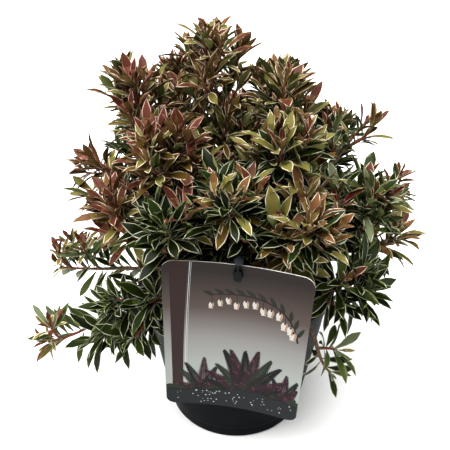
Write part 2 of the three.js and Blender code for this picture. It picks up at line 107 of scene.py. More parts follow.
# The leaves of each kind of shoot: how many, from which share of its length, and their size.
LEAFING = {
    "stem": (18, 0.25, 1),
    "thin_stem": (9, 0.25, 1),
    "twig": (15, 0.25, 1),
    "side_shoot": (11, 0.3, 0.84),
    "spur": (13, 0.1, 0.98),
    "spray": (24, 0, 1),
    "spray_bough": (14, 0.6, 0.9),
    "spray_whorl": (9, 0.93, 0.62),
    "spray_twig": (8, 0.3, 0.8),
    "spray_twig_whorl": (11, 0.82, 0.66),
}
ALONG_A_SPRAY = ("spray", "spray_bough", "spray_twig")
LEAF = {"length": 35, "width": 8.9, "thick": 0.5, "margin": 0.7, "wave": 0.35}
# A leaf keeps this clear of other things, may stand this far out of its mass, and is tried at these lengths.
SETTLING = {"room": 0.6, "over": 5, "lengths": (1, 0.84, 0.7)}
NARROW = 0.7  # how much narrower the leaves along a spray are
LABEL = {"width": 117, "height": 165, "thick": 0.8, "corner": 9, "bow": 6, "at": (-3.4, -99, 148)}
LABEL_VIEW = 0.6  # how fast the room kept clear in front of the label grows, up and down
LABEL_TURN = {"lean": 5.4, "roll": -2.5, "yaw": -9.5}
HALF_WIDTH, HALF_HEIGHT = LABEL["width"] / 2, LABEL["height"] / 2
TIE = {"hole": 4, "below": 9, "strap": 1, "head": (6.5, 3.2, 10), "ball": 4, "rib_every": 1.8}
TIE_LOOP = {"from": 0.8, "held": 0.4, "slack": 0.8, "turns": (110, 65, 0, -65, -110), "behind": 3, "above": 4}
TIE_ROOM = {"side": 9, "above": 16, "behind": 42}  # kept free of leaves round the tie
HOLE_HEIGHT = HALF_HEIGHT - TIE["below"]
EDGE = 0.4  # the print stops this far inside the card
# The ferns on the card: foot, length of a frond, and how many fronds.
FERNS = [((-26, -66), 40, 7), ((44, -66), 36, 7), ((12, -66), 56, 11)]
SPRAY_PRINT = {"route": ((51, 14), (43, 64), (-22, 50)), "leaves": 11, "bells": 12}
BOX_ROOM = 0.3  # leaves stay this far inside the box of the solids
SEED = {"first": 1000, "step": 77, "crumbs": 4242, "print": 909}
CAMERA = {"lens": 48, "sensor": 36, "at": (-11.4, -483, 477), "tilt": 60.5}
FLOOR_REACH, ROOM_LIGHT = 9000, 0.2
# The lamps: name, place in metres, width of the light in degrees, and strength. They shine at one point.
LAMPS = (("overhead", (-0.15, -0.3, 2), 70, 6.2), ("left", (-1.5, -0.6, 1.5), 50, 1.5))
LIT_POINT = (0, 0, 0.2)

# The crown: name, middle, reach, how flat, the tints of most of its shoots, of some, and of the shaded
# ones (darker, partly painted shade), how many twigs, and the size of its leaves. A flat mass is a spray,
# with tints along it and at its tips.
CROWN = [
    ("top", (-20, 0, 351), 42, 1, "olive bronze umber", 6, 0.86),
    ("upper_left", (-80, -8, 320), 42, 1, "olive rose umber", 6, 0.84),
    ("upper_right", (36, 0, 311), 42, 1, "mossy olive umber", 3, 1.06),
    ("upper_front_left", (-52, -52, 286), 44, 1, "rose bronze umber", 6, 1.04),
    ("upper_front_right", (34, -54, 286), 46, 1, "mossy olive umber", 6, 1.06),
    ("upper_back_left", (-48, 72, 298), 46, 1, "rose olive umber", 7, 0.9),
    ("upper_back_right", (38, 76, 293), 46, 1, "olive bronze umber", 7, 0.9),
    ("shoulder_left", (-111, 12, 251), 45, 1, "rose bronze umber", 4, 0.86),
    ("shoulder_right", (99, 18, 279), 40, 1, "crimson bronze fresh", 2, 0.78),
    ("right", (134, 26, 216), 42, 1, "crimson fresh fresh", 3, 0.82),
    ("middle_left", (-91, -52, 237), 41, 1, "rose bronze umber", 5, 1.04),
    ("middle_right", (98, -46, 242), 43, 1, "fresh crimson fresh", 6, 0.95),
    ("front_left", (-50, -88, 243), 42, 1, "bronze rose deep", 5, 1.05),
    ("front_centre", (-6, -86, 262), 39, 1, "mossy olive deep", 6, 1.02),
    ("front_right", (44, -88, 243), 44, 1, "copper bronze umber", 6, 1.08),
    ("back_left", (-90, 94, 240), 47, 1, "copper olive green", 7, 0.95),
    ("back", (0, 122, 246), 47, 1, "rose bronze green", 7, 0.95),
    ("back_right", (88, 98, 240), 47, 1, "bronze green green", 7, 0.95),
    ("low_left", (-134, -12, 168), 47, 0.8, "spray tip_whorl", 4, 1),
    ("low_left_spray", (-130, -80, 150), 48, 0.7, "spray tip_whorl", 2, 0.95),
    ("low_front_left", (-83, -78, 160), 43, 1, "green fresh green", 6, 0.96),
    ("low_front_right", (86, -75, 182), 42, 1, "tipped bronze green", 5, 1.05),
    ("low_right_spray", (71, -97, 121), 31, 1, "spray spray green", 1, 0.85),
    ("low_right", (126, -22, 187), 44, 1, "copper copper umber", 3, 1.0),
    ("low_back_left", (-92, 88, 178), 45, 1, "green green green", 7, 1),
    ("low_back", (0, 120, 180), 45, 1, "green green green", 7, 1),
    ("low_back_right", (94, 86, 176), 45, 1, "green tipped green", 7, 1),
]
# The height from which the shoots of a mass reach the light, as a share of its reach over its middle.
# Shoots below it take the mass's darker shaded tint: partly the deep green of shade leaves, partly painted
# shade.
LIT_FROM = {"umber": -0.25, "fresh": 0.3, "green": 0.3, "deep": 0.45}
TINT_CHANCES = {"shaded": 0.12, "some": 0.42}
# The masses whose leaves are joined, and the age from which a leaf counts as young.
TIERS = {
    "front": "front_left front_centre front_right middle_left middle_right "
    "upper_front_left upper_front_right",
    "upper": "top upper_left upper_right upper_back_left upper_back_right shoulder_left shoulder_right",
    "back": "back_left back back_right right low_back_left low_back low_back_right",
    "low": "low_left low_left_spray low_front_left low_front_right low_right_spray low_right",
}
YOUNG_FROM = 0.62

# ---------------------------------------------------------------- numbers, vectors and routes

UP, EAST = np.array([0.0, 0.0, 1.0]), np.array([1.0, 0.0, 0.0])
GOLDEN = math.radians(137.508)


def seeded(seed):
    """A seeded source of numbers from 0 to 1, the same one as in the part's source."""
    state = seed & 0xFFFFFFFF

    def draw():
        nonlocal state
        state = (state + 0x6D2B79F5) & 0xFFFFFFFF
        t = ((state ^ (state >> 15)) * (state | 1)) & 0xFFFFFFFF
        t ^= (t + (((t ^ (t >> 7)) * (t | 61)) & 0xFFFFFFFF)) & 0xFFFFFFFF
        return (t ^ (t >> 14)) / 4294967296

    return draw


def lerp(a, b, share):
    return a + (b - a) * share


def unit(v):
    return v / np.linalg.norm(v, axis=-1, keepdims=True)


def rows(*columns):
    """An array made of its columns."""
    return np.stack(columns, axis=1)


def circle(sides):
    """The angles of the corners of a polygon."""
    return 2 * np.pi * np.arange(sides) / sides


def across(v):
    """A unit vector square to v."""
    return unit(np.cross(UP if abs(v[2]) < 0.9 else EAST, v))


def leaning(axis, tilt, turn):
    """Unit vectors that lean away from axis by tilt, in the direction turn round it."""
    side = across(axis)
    other = unit(np.cross(axis, side))
    tilt, turn = np.asarray(tilt)[..., None], np.asarray(turn)[..., None]
    out = side * np.sin(tilt) * np.cos(turn)
    return unit(axis * np.cos(tilt) + out + other * np.sin(tilt) * np.sin(turn))


class Route:
    """A smooth line through space, read by the share of its length."""

    def __init__(self, at, steps=200):
        self.points = np.array([at(t) for t in np.linspace(0, 1, steps + 1)])
        pieces = np.linalg.norm(np.diff(self.points, axis=0), axis=1)
        self.run = np.concatenate([[0], np.cumsum(pieces)])
        self.length = self.run[-1]

    def at(self, share):
        where = np.asarray(share) * self.length
        return np.stack([np.interp(where, self.run, self.points[:, k]) for k in range(3)], axis=-1)

    def heading(self, share):
        share = np.asarray(share, float)
        return unit(self.at(np.minimum(share + 0.02, 1)) - self.at(np.maximum(share - 0.02, 0)))


def bent(start, knee, end, steps=200):
    """A quadratic bend from start to end, drawn towards knee."""
    return Route(lambda t: start * (1 - t) ** 2 + 2 * knee * t * (1 - t) + end * t * t, steps)


def threaded(points, steps=200):
    """A centripetal Catmull-Rom line through the points."""
    points = [np.array(p, float) for p in points]
    whole = [2 * points[0] - points[1], *points, 2 * points[-1] - points[-2]]

    def at(t):
        where = t * (len(points) - 1)
        first = min(int(where), len(points) - 2)
        a, b, c, d = whole[first : first + 4]
        ab, bc, cd = (math.sqrt(np.linalg.norm(q - p)) for p, q in ((a, b), (b, c), (c, d)))
        leave = ((b - a) / ab - (c - a) / (ab + bc) + (c - b) / bc) * bc
        arrive = ((c - b) / bc - (d - b) / (bc + cd) + (d - c) / cd) * bc
        w = where - first
        curve, twist = 3 * (c - b) - 2 * leave - arrive, 2 * (b - c) + leave + arrive
        return b + leave * w + curve * w**2 + twist * w**3

    return Route(at, steps)


# ---------------------------------------------------------------- meshes and pieces


def add_piece(mesh, nodes=(), matrix=None):
    """Puts a mesh into the scene as a piece of the part."""
    piece = bpy.data.objects.new(mesh.name, mesh)
    bpy.context.scene.collection.objects.link(piece)
    if matrix is not None:
        piece.matrix_world = matrix
    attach(piece, "root")
    if nodes:
        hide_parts(*nodes)
    return piece


class Stock:
    """Shapes gathered in arrays of millimetres, to be joined into one mesh."""

    def __init__(self):
        self.vertices, self.faces, self.slots, self.count = [], {}, {}, 0

    def add(self, vertices, *groups, slots=0):
        """Adds vertices and groups of faces. Each group, or all of them, has a slot, or one for each face."""
        slots = slots if isinstance(slots, list) else [slots] * len(groups)
        for faces, slot in zip(groups, slots):
            size = np.shape(faces)[1]
            self.faces.setdefault(size, []).append(np.asarray(faces) + self.count)
            self.slots.setdefault(size, []).append(np.broadcast_to(slot, len(faces)))
        self.vertices.append(vertices)
        self.count += len(vertices)
        return self

    def mesh(self, name, materials, sharp=40):
        mesh, sizes = bpy.data.meshes.new(name), sorted(self.faces)
        faces = [np.concatenate(self.faces[size]) for size in sizes]
        totals = np.concatenate([np.full(len(f), size) for f, size in zip(faces, sizes)])
        mesh.vertices.add(self.count)
        vertices = np.concatenate(self.vertices).astype(np.float64) * MM
        mesh.vertices.foreach_set("co", vertices.astype(np.float32).ravel())
        mesh.loops.add(totals.sum())
        corners = np.concatenate([f.ravel() for f in faces])
        mesh.loops.foreach_set("vertex_index", corners.astype(np.int32))
        mesh.polygons.add(len(totals))
        starts = np.concatenate([[0], np.cumsum(totals)[:-1]])
        mesh.polygons.foreach_set("loop_start", starts.astype(np.int32))
        slots = np.concatenate([some for size in sizes for some in self.slots[size]])
        for material in materials:
            mesh.materials.append(material)
        mesh.polygons.foreach_set("material_index", slots.astype(np.int32))
        mesh.update(calc_edges=True)
        mesh.validate()
        mesh.shade_smooth()
        mesh.set_sharp_from_angle(angle=math.radians(sharp))
        return mesh


def ring_faces(rings, sides):
    """The quads between neighbouring rings of sides points each."""
    i, j = np.meshgrid(np.arange(rings - 1), np.arange(sides), indexing="ij")
    a, b = i * sides + j, i * sides + (j + 1) % sides
    return np.stack([a, b, b + sides, a + sides], axis=-1).reshape(-1, 4)


def capped(rings, ends):
    """The vertices, quads and caps of a shell of rings, closed by a point at each end."""
    count, sides = rings.shape[:2]
    j = np.arange(sides)
    after, last, foot = (j + 1) % sides, (count - 1) * sides, np.full(sides, count * sides)
    caps = [rows(after, j, foot), rows(last + j, last + after, foot + 1)]
    return np.concatenate([rings.reshape(-1, 3), ends]), ring_faces(count, sides), np.concatenate(caps)


def tube(points, radii, sides):
    """A closed tube: rings round the points, whose radii may differ round a ring, and a dome at each end."""
    points = np.asarray(points)
    radii = np.broadcast_to(np.asarray(radii, float).reshape(len(points), -1), (len(points), sides))
    along = unit(np.gradient(points, axis=0))
    side = -across(along[0])
    cos, sin = np.cos(circle(sides))[:, None], np.sin(circle(sides))[:, None]
    rings = []
    for point, heading, radius in zip(points, along, radii):
        side = unit(side - heading * np.dot(side, heading))
        rings.append(point + radius[:, None] * (cos * side + sin * np.cross(heading, side)))
    ends = [points[0] - along[0] * radii[0].mean() * 0.4, points[-1] + along[-1] * radii[-1].mean() * 0.6]
    return capped(np.array(rings), ends)


def turned(profile, sides):
    """A closed solid of revolution about Z from (radius, height) pairs that start and end on the axis."""
    inner, turns = np.array(profile[1:-1]), circle(sides)
    heights = np.repeat(inner[:, 1:], sides, axis=1)
    rings = np.stack([inner[:, :1] * np.cos(turns), inner[:, :1] * np.sin(turns), heights], axis=-1)
    return capped(rings, [[0, 0, profile[0][1]], [0, 0, profile[-1][1]]])


def solid(name, shape, finish, sharp):
    """The mesh of one shape, its vertices and groups of faces, in one finish."""
    return Stock().add(*shape).mesh(name, [finish], sharp)


def rounded(profile, radius, steps=4):
    """The profile with each inner corner rounded off by about that radius."""
    points = [np.array(p, float) for p in profile]
    out = [points[0]]
    for before, corner, after in zip(points, points[1:], points[2:]):
        back, on = before - corner, after - corner
        room = min(radius, np.linalg.norm(back) * 0.45, np.linalg.norm(on) * 0.45)
        a, b = corner + unit(back) * room, corner + unit(on) * room
        for t in np.linspace(0, 1, steps + 1):
            out.append(a * (1 - t) ** 2 + 2 * corner * t * (1 - t) + b * t * t)
    return [tuple(p) for p in [*out, points[-1]]]


def bored(name, mesh, cutters):
    """The mesh with the cutters, solids of vertices, quads and caps, taken out of it."""
    tool_stock = Stock()
    for cutter in cutters:
        tool_stock.add(*cutter)
    tool = bpy.data.objects.new("drill", tool_stock.mesh("drill", list(mesh.materials)))
    body = bpy.data.objects.new(name + "_blank", mesh)
    for o in (body, tool):
        bpy.context.scene.collection.objects.link(o)
    cut = body.modifiers.new("bore", "BOOLEAN")
    cut.operation, cut.solver, cut.object = "DIFFERENCE", "EXACT", tool
    done = bpy.data.meshes.new_from_object(body.evaluated_get(bpy.context.evaluated_depsgraph_get()))
    done.name = name
    for o in (body, tool):
        bpy.data.objects.remove(o)
    done.shade_smooth()
    done.set_sharp_from_angle(angle=math.radians(38))
    return done


# ---------------------------------------------------------------- materials


def linear(colour):
    """An sRGB hex colour as linear red, green, blue and alpha."""
    channels = [int(colour[k : k + 2], 16) / 255 for k in (0, 2, 4)]
    return [c / 12.92 if c <= 0.04045 else ((c + 0.055) / 1.055) ** 2.4 for c in channels] + [1.0]


def node(owner, kind, inputs=None):
    """Adds a node to a material or world. An input is a value, or the (node, output) it is linked to."""
    made = owner.node_tree.nodes.new(kind)
    for name, value in (inputs or {}).items():
        if isinstance(value, tuple) and isinstance(value[0], bpy.types.Node):
            owner.node_tree.links.new(value[0].outputs[value[1]], made.inputs[name])
        else:
            made.inputs[name].default_value = value
    return made


def emptied(owner):
    """A new material or world, without the nodes that it comes with."""
    owner.use_nodes = True
    owner.node_tree.nodes.clear()
    return owner


def surface(material, **inputs):
    """The shader and the output, with sockets named in words: base_color stands for Base Color."""

    def socket(words):
        return " ".join(word if word == "IOR" else word.capitalize() for word in words.split("_"))

    inputs = {socket(words): value for words, value in inputs.items()}
    shader = node(material, "ShaderNodeBsdfPrincipled", inputs)
    node(material, "ShaderNodeOutputMaterial", {"Surface": (shader, "BSDF")})
    return material


def own_place(material):
    return node(material, "ShaderNodeTexCoord"), "Object"


def noise(material, size, detail, **more):
    """Noise over the piece, in grains of about size millimetres."""
    inputs = {"Vector": own_place(material), "Scale": 1 / (size * MM), "Detail": detail, **more}
    return node(material, "ShaderNodeTexNoise", inputs), "Fac"


def relief(material, pattern, strength, depth):
    """A bump of that depth in millimetres, high where the pattern is pale."""
    inputs = {"Height": pattern, "Strength": strength, "Distance": depth * MM}
    return node(material, "ShaderNodeBump", inputs), "Normal"


def ranged(material, value, given, wanted):
    """The value, moved from the given range to the wanted one."""
    ends = zip(("From Min", "From Max", "To Min", "To Max"), (*given, *wanted))
    return node(material, "ShaderNodeMapRange", {"Value": value, **dict(ends)}), "Result"


def ramp(material, factor, stops):
    """A colour ramp over (place, hex colour) stops."""
    made = node(material, "ShaderNodeValToRGB", {"Fac": factor})
    elements = made.color_ramp.elements
    while len(elements) < len(stops):
        elements.new(0.5)
    for element, (place, colour) in zip(elements, stops):
        element.position, element.color = place, linear(colour)
    return made, "Color"


def leathery_leaf(name, colour, roughness):
    """Living evergreen leaf: leathery, under a waxy cuticle. The eye sees satin light and a faint net of
    veins, drawn at 2.5 mm, coarser than the real half millimetre, so that it shows."""
    material = emptied(bpy.data.materials.new(name))
    veins = relief(material, noise(material, 2.5, 2.0), 0.35, 0.4)
    blade = linear(colour)
    return surface(material, base_color=blade, roughness=roughness, specular_IOR_level=0.12, normal=veins)


def bark(name, dark, pale, fibre, depth):
    """Woody bark: matt, fibrous, split along the limb. Noise stretched along Z draws fibres of that width."""
    material = emptied(bpy.data.materials.new(name))
    width = fibre * MM
    scale = (1 / width, 1 / width, 0.22 / width)
    stretched = node(material, "ShaderNodeMapping", {"Vector": own_place(material), "Scale": scale})
    inputs = {"Vector": (stretched, "Vector"), "Scale": 1.0, "Detail": 5.0, "Roughness": 0.62}
    fibres = node(material, "ShaderNodeTexNoise", inputs), "Fac"
    colours = ramp(material, fibres, [(0.32, dark), (0.55, pale), (0.75, dark)])
    return surface(material, base_color=colours, roughness=0.82, normal=relief(material, fibres, 0.8, depth))


def moulded_plastic(name, colour, worn, roughness):
    """Injection-moulded plastic: a satin skin with fine pits of about 1 mm, and wide dusty scuffs that are
    paler and duller."""
    material = emptied(bpy.data.materials.new(name))
    scuffs = noise(material, 24, 6.0)
    colours = ramp(material, scuffs, [(0.4, colour), (0.72, worn)])
    dull = ranged(material, scuffs, (0.3, 0.7), (roughness - 0.06, roughness + 0.12))
    pits = relief(material, noise(material, 1.2, 3.0), 0.18, 0.2)
    return surface(material, base_color=colours, roughness=dull, specular_IOR_level=0.05, normal=pits)


def crumbly(name, dark, pale):
    """Peat and composted bark: matt, dark brown crumbs about 2 mm across."""
    material = emptied(bpy.data.materials.new(name))
    crumbs = noise(material, 2.2, 6.0, Roughness=0.7)
    colours = ramp(material, crumbs, [(0.35, dark), (0.7, pale)])
    return surface(material, base_color=colours, roughness=0.95, normal=relief(material, crumbs, 1.0, 0.8))


def printed_field(name):
    """Plastic card printed in a soft gradient, mauve-brown at the top to pale grey, under a satin film."""
    material = emptied(bpy.data.materials.new(name))
    apart = node(material, "ShaderNodeSeparateXYZ", {"Vector": own_place(material)})
    half = HALF_HEIGHT * MM
    height = ranged(material, (apart, "Z"), (-half, half), (0, 1))
    colours = ramp(material, height, [(0.32, "848984"), (0.52, "747270"), (0.72, "453a35"), (0.95, "1a110e")])
    return surface(material, base_color=colours, roughness=0.5, specular_IOR_level=0.2)


def printing_ink(name, colour):
    """Flat ink under the card's satin film, with a faint unevenness in its gloss."""
    material = emptied(bpy.data.materials.new(name))
    gloss = ranged(material, noise(material, 6, 2.0), (0, 1), (0.28, 0.42))
    return surface(material, base_color=linear(colour), roughness=gloss, specular_IOR_level=0.12)


BLADES = {
    # deep_green is the dark of old and shade leaves, made darker still as painted shade for the crown's
    # inside.
    "deep_green": "121805",
    "green": "1f290b",
    "mid_green": "414d25",
    "lichen": "5f664b",
    "moss": "4c501f",
    "umber": "5b481f",
    "olive": "6c6535",
    "golden": "7a673a",
    "bronze": "6a4b30",
    "copper": "644029",
    "blush": "774a3b",
    "rose": "532e23",
    "crimson": "4e1d17",
}
MARGINS = {"cream": "9da089", "straw": "c8b9a3", "pink": "b69385", "faint": "6b6f58"}
UNDERSIDES = {"sage": "5a613a", "dusky": "655032"}
LEAF_FINISHES = (("blade", BLADES, 0.4), ("margin", MARGINS, 0.5), ("underside", UNDERSIDES, 0.6))

leaf_materials = [
    leathery_leaf(f"leaf_{part}_{name}", colour, roughness)
    for part, colours, roughness in LEAF_FINISHES
    for name, colour in colours.items()
]
LEAF_SLOT = {name: i for i, name in enumerate([*BLADES, *MARGINS, *UNDERSIDES])}

# Each kind of leaf: its blade, its margin, its underside, and the outer third of its blade.
LEAF_KINDS = {
    # The shaded kind: the deep green of old leaves, and on shoots in the crown's shade partly painted shade.
    "shaded": "deep_green cream sage deep_green",
    "green": "green cream sage green",
    "fresh": "mid_green cream sage green",
    "pale": "lichen cream sage lichen",
    "narrow": "mid_green faint sage mid_green",
    "tip": "copper rose bronze rose",
    "mossy": "moss straw sage olive",
    "umber": "umber straw dusky umber",
    "olive": "olive straw sage olive",
    "golden": "golden straw dusky bronze",
    "bronze": "bronze straw dusky rose",
    "copper": "copper straw dusky bronze",
    "rose": "bronze pink dusky rose",
    "blush": "blush pink dusky rose",
    "crimson": "crimson pink dusky rose",
}
# The leaves of one shoot, from its oldest to its youngest.
SHOOT_TINTS = {
    # The shade, deep and umber lists are the tints of shoots in the crown's shade: partly shade leaves,
    # partly painted shade.
    "shade": "shaded shaded shaded green",
    "deep": "shaded shaded green",
    "green": "shaded shaded shaded green green fresh",
    "tipped": "shaded green green fresh fresh bronze",
    "fresh": "fresh pale fresh pale fresh bronze",
    "spray": "green narrow narrow narrow pale olive",
    "tip_whorl": "olive tip tip",
    "mossy": "shaded green mossy olive mossy bronze rose",
    "umber": "umber mossy umber olive bronze",
    "olive": "umber olive bronze olive golden bronze",
    "bronze": "umber olive bronze golden bronze copper",
    "copper": "shaded green olive golden golden copper",
    "rose": "umber olive bronze blush blush rose",
    "crimson": "green fresh olive bronze crimson crimson",
}

old_bark = bark("bark_of_old_wood", "3a2c22", "6d5a48", 1.6, 0.5)
young_bark = bark("skin_of_young_wood", "5b2c22", "7d4433", 1.0, 0.15)
pot_plastic = moulded_plastic("black_moulded_polypropylene", "04070a", "090d12", 0.5)
tie_plastic = moulded_plastic("black_tie_nylon", "141618", "26292d", 0.36)
ball_plastic = moulded_plastic("grey_ball_nylon", "24282b", "3c4146", 0.4)
compost_crumbs = crumbly("peat_compost", "15100c", "3b2b1e")
bark_chips = crumbly("composted_bark_chips", "2b1d13", "5d432d")
card_print = printed_field("printed_card_field")
card_white = printing_ink("white_card_edge", "e8e7e2")
inks = {
    "brown": printing_ink("ink_dark_brown", "2a1b1a"),
    "pale": printing_ink("ink_pale_grey", "a9adab"),
    "earth": printing_ink("ink_charcoal", "15191c"),
    "plum": printing_ink("ink_plum", "26121a"),
    "rose": printing_ink("ink_dull_rose", "48232a"),
    "black": printing_ink("ink_near_black", "0e0b0d"),
    "moss": printing_ink("ink_moss", "1e2519"),
    "white": printing_ink("ink_white", "a8a39c"),
    "peach": printing_ink("ink_peach", "84705f"),
}

# ---------------------------------------------------------------- stem and boughs

lean_x, lean_y = TRUNK["lean"]
trunk_route = threaded(
    [
        (0, 0, COMPOST_TOP + 0.3),
        (lean_x * 0.2, lean_y * 0.1, COMPOST_TOP + TRUNK["height"] * 0.35),
        (lean_x, lean_y * 0.6, COMPOST_TOP + TRUNK["height"] * 0.7),
        (lean_x * 0.8, lean_y, COMPOST_TOP + TRUNK["height"]),
    ]
)


def plan_boughs():
    """Each mass with its bough's route, from the stem's middle line to where it enters: low masses first."""
    by_height = sorted(CROWN, key=lambda mass: mass[1][2])
    for rank, (name, at, reach, flat, tints, twigs, leaf) in enumerate(by_height):
        share = lerp(BOUGH["first_fork"], BOUGH["last_fork"], rank / (len(by_height) - 1))
        start, centre = trunk_route.at(share), np.array(at, float)
        drop = max(0, start[2] + DROP["over"] - centre[2])
        out = DROP["out"] if drop > 0 else FRONT_KNEE if name == "front_centre" else KNEE["out"]
        knee = lerp(start, centre, out)
        knee[2] = lerp(start[2], centre[2], KNEE["up"]) + DROP["up"] * drop
        heading = unit(centre - knee)
        end = centre - heading * MASS["entry"] * reach
        mass = {"name": name, "centre": centre, "reach": reach, "flat": flat, "twigs": twigs, "leaf": leaf}
        bough = {"heading": heading, "end": end, "route": bent(start, knee, end)}
        yield {**mass, **bough, "tints": tints.split()}


boughs = list(plan_boughs())


def ripple(points, size):
    """Smooth unevenness from -1 to 1 at about that size, the same on every run."""
    p = np.asarray(points) * (2 * np.pi / size)
    waves = np.sin(p[..., 0] + 1.7 * np.sin(0.61 * p[..., 1])) * np.cos(0.83 * p[..., 1] + 0.4)
    return 0.6 * waves + 0.4 * np.sin(0.9 * p[..., 2] + 1.3 * p[..., 0] + 2.1 * np.sin(0.37 * p[..., 1]))


def bark_relief(points, radii, sides, scar_every):
    """Radii round each ring: ridges along the limb, knobs and the rings of old leaf scars."""
    turns = circle(sides)
    run = np.concatenate([[0], np.cumsum(np.linalg.norm(np.diff(points, axis=0), axis=1))])
    lines = np.stack(np.meshgrid(run * 0.35, turns * 3.1, indexing="ij"), axis=-1)
    ridges = np.sin(5 * turns + 0.21 * run[:, None]) + 0.7 * np.sin(9 * turns - 0.13 * run[:, None])
    knobs = ripple(np.concatenate([lines, lines[..., :1] * 0.7], axis=-1), 5.0)
    off = np.abs(((run / scar_every) % 1) - 0.5) * scar_every
    scars = np.exp(-((off / 0.7) ** 2))[:, None]
    return radii[:, None] * (1 + 0.045 * ridges + 0.05 * knobs + 0.08 * scars)


def make_trunk():
    """The stem: a flare with five lobes at the compost, which fade upwards, and bark in relief."""
    sides = TRUNK_BARK["sides"]
    shares = np.linspace(0, 1, TRUNK_BARK["steps"] + 1)
    points = trunk_route.at(shares)
    flare = (TRUNK["flare"] - TRUNK["foot"]) * np.exp(-TRUNK["flare_fade"] * shares)
    taper = lerp(TRUNK["foot"], TRUNK["tip"], shares) + flare
    radii = bark_relief(points, taper * 0.97, sides, TRUNK_BARK["scar_every"])
    lobes = 1 + 0.12 * np.cos(5 * circle(sides) + 0.6) * np.exp(-9 * shares)[:, None]
    vertices, quads, caps = tube(points, radii * lobes, sides)
    vertices[:, 2] = np.maximum(vertices[:, 2], COMPOST_TOP - 0.5)
    add_piece(solid("stem_bark", (vertices, quads, caps), old_bark, 75), ["stem"])


def make_boughs():
    stock, sides = Stock(), BOUGH_BARK["sides"]
    for bough in boughs:
        shares = np.linspace(0, 1, int(bough["route"].length / BOUGH_BARK["step"]) + 1)
        points = bough["route"].at(shares)
        taper = lerp(BOUGH["root"], BOUGH["tip"], shares)
        radii = bark_relief(points, taper, sides, BOUGH_BARK["scar_every"])
        stock.add(*tube(points, radii, sides))
    add_piece(stock.mesh("bough_bark", [old_bark], sharp=75), ["bough_" + b["name"] for b in boughs])


# ---------------------------------------------------------------- label frame and clearances

label_turn = (
    Matrix.Rotation(math.radians(LABEL_TURN["yaw"]), 4, "Z")
    @ Matrix.Rotation(math.radians(LABEL_TURN["lean"]), 4, "X")
    @ Matrix.Rotation(math.radians(-LABEL_TURN["roll"]), 4, "Y")
)
label_matrix = Matrix.Translation(Vector(LABEL["at"])) @ label_turn
label_in_metres = Matrix.Translation(Vector(LABEL["at"]) * MM) @ label_turn
from_label = np.array(label_matrix.inverted())

SAMPLES = np.linspace(0, 1, 31)
limb_points = np.array([bough["route"].at(SAMPLES) for bough in boughs])
limb_radii = lerp(BOUGH["root"], BOUGH["tip"], SAMPLES)
centres = np.array([bough["centre"] for bough in boughs])
reaches = np.array([bough["reach"] for bough in boughs])
flats = np.array([[1, 1, bough["flat"]] for bough in boughs])
low_corner, high_corner = (np.array(corner) / MM for corner in cad_box)


def clear_of_made_things(points, room):
    """Clear of the pot, the ground, the tie, and the label with the view in front of it."""
    away = np.hypot(points[..., 0], points[..., 1])
    in_pot = (points[..., 2] < POT["height"] + room) & (away < POT["rim"] + room)
    x, y, z = np.moveaxis(points @ from_label[:3, :3].T + from_label[:3, 3], -1, 0)
    in_front = LABEL_VIEW * np.maximum(0, -y)
    beside = (np.abs(x) > HALF_WIDTH + room) | (np.abs(z) > HALF_HEIGHT + room + in_front)
    in_view = ~beside & (y < room + 1)
    by_tie = (np.abs(x) < TIE_ROOM["side"]) & (np.abs(z - HOLE_HEIGHT) < TIE_ROOM["above"])
    by_tie &= y < TIE_ROOM["behind"]
    return ~(in_pot | in_view | by_tie | (points[..., 2] < room))


def in_crown(points, over):
    """True for each point that some mass reaches, or lies within over of it, and in the crown's inside."""
    away = np.linalg.norm((points[..., None, :] - centres) / flats, axis=-1)
    inside = np.linalg.norm((points - CORE["at"]) / CORE["reach"], axis=-1) < 1
    return (away < reaches + over).any(axis=-1) | inside


def clear(points, own, room, over):
    """True for each point within the crown, inside the part's box and clear of all other things."""
    in_box = ((points > low_corner + BOX_ROOM) & (points < high_corner - BOX_ROOM)).all(axis=-1)
    others = np.delete(limb_points, own, axis=0).reshape(-1, 3)
    apart = np.linalg.norm(points[..., None, :] - others, axis=-1)
    off_limbs = (apart > np.tile(limb_radii, len(boughs) - 1) + room).all(axis=-1)
    return in_crown(points, over) & in_box & off_limbs & clear_of_made_things(points, room)


# ---------------------------------------------------------------- leaves

# The stations along a leaf, and its width at each. A station has six points: the left rim and margin, the
# middle, the right margin and rim, and one below. The root comes before them and the tip after them.
STATIONS = np.array([0.06, 0.2, 0.38, 0.57, 0.74, 0.89])
WIDTHS = np.array([0.12, 0.38, 0.74, 0.98, 0.92, 0.46])
AROUND = 6
# Where a leaf is tried for room: its middle at two stations, its rims where it is widest, and its end.
PROBES = [15, 19, 23, 27, 31, 37]
BLADE, MARGIN, UNDERSIDE, TIP = range(4)
UPRIGHT = ((200, 290), (0.1, 0.45))  # how far the leaves turn up, from the low masses to the top ones
# Where leaves of each age sit on a shoot: last year's low, then bare red stem, then this year's at the tip.
FLUSH = {"ages": (0, 0.42, 0.5, 1), "places": (0, 0.36, 0.66, 1)}


def leaf_faces():
    """The triangles of one leaf, and which part each belongs to: blade, margin, underside or blade's tip."""
    triangles, parts, count = [], [], len(STATIONS)
    for i in range(-1, count):
        low = [0] * AROUND if i < 0 else [1 + AROUND * i + c for c in range(AROUND)]
        high = [1 + AROUND * min(i + 1, count) + (c if i + 1 < count else 0) for c in range(AROUND)]
        blade = TIP if i >= count - 3 else BLADE
        for left, part in enumerate((MARGIN, blade, blade, MARGIN, UNDERSIDE, UNDERSIDE)):
            right = (left + 1) % AROUND
            for triangle in ((low[left], high[right], high[left]), (low[left], low[right], high[right])):
                if len(set(triangle)) == 3:
                    triangles.append(triangle)
                    parts.append(part)
    return np.array(triangles), np.array(parts)


LEAF_TRIANGLES, LEAF_PARTS = leaf_faces()


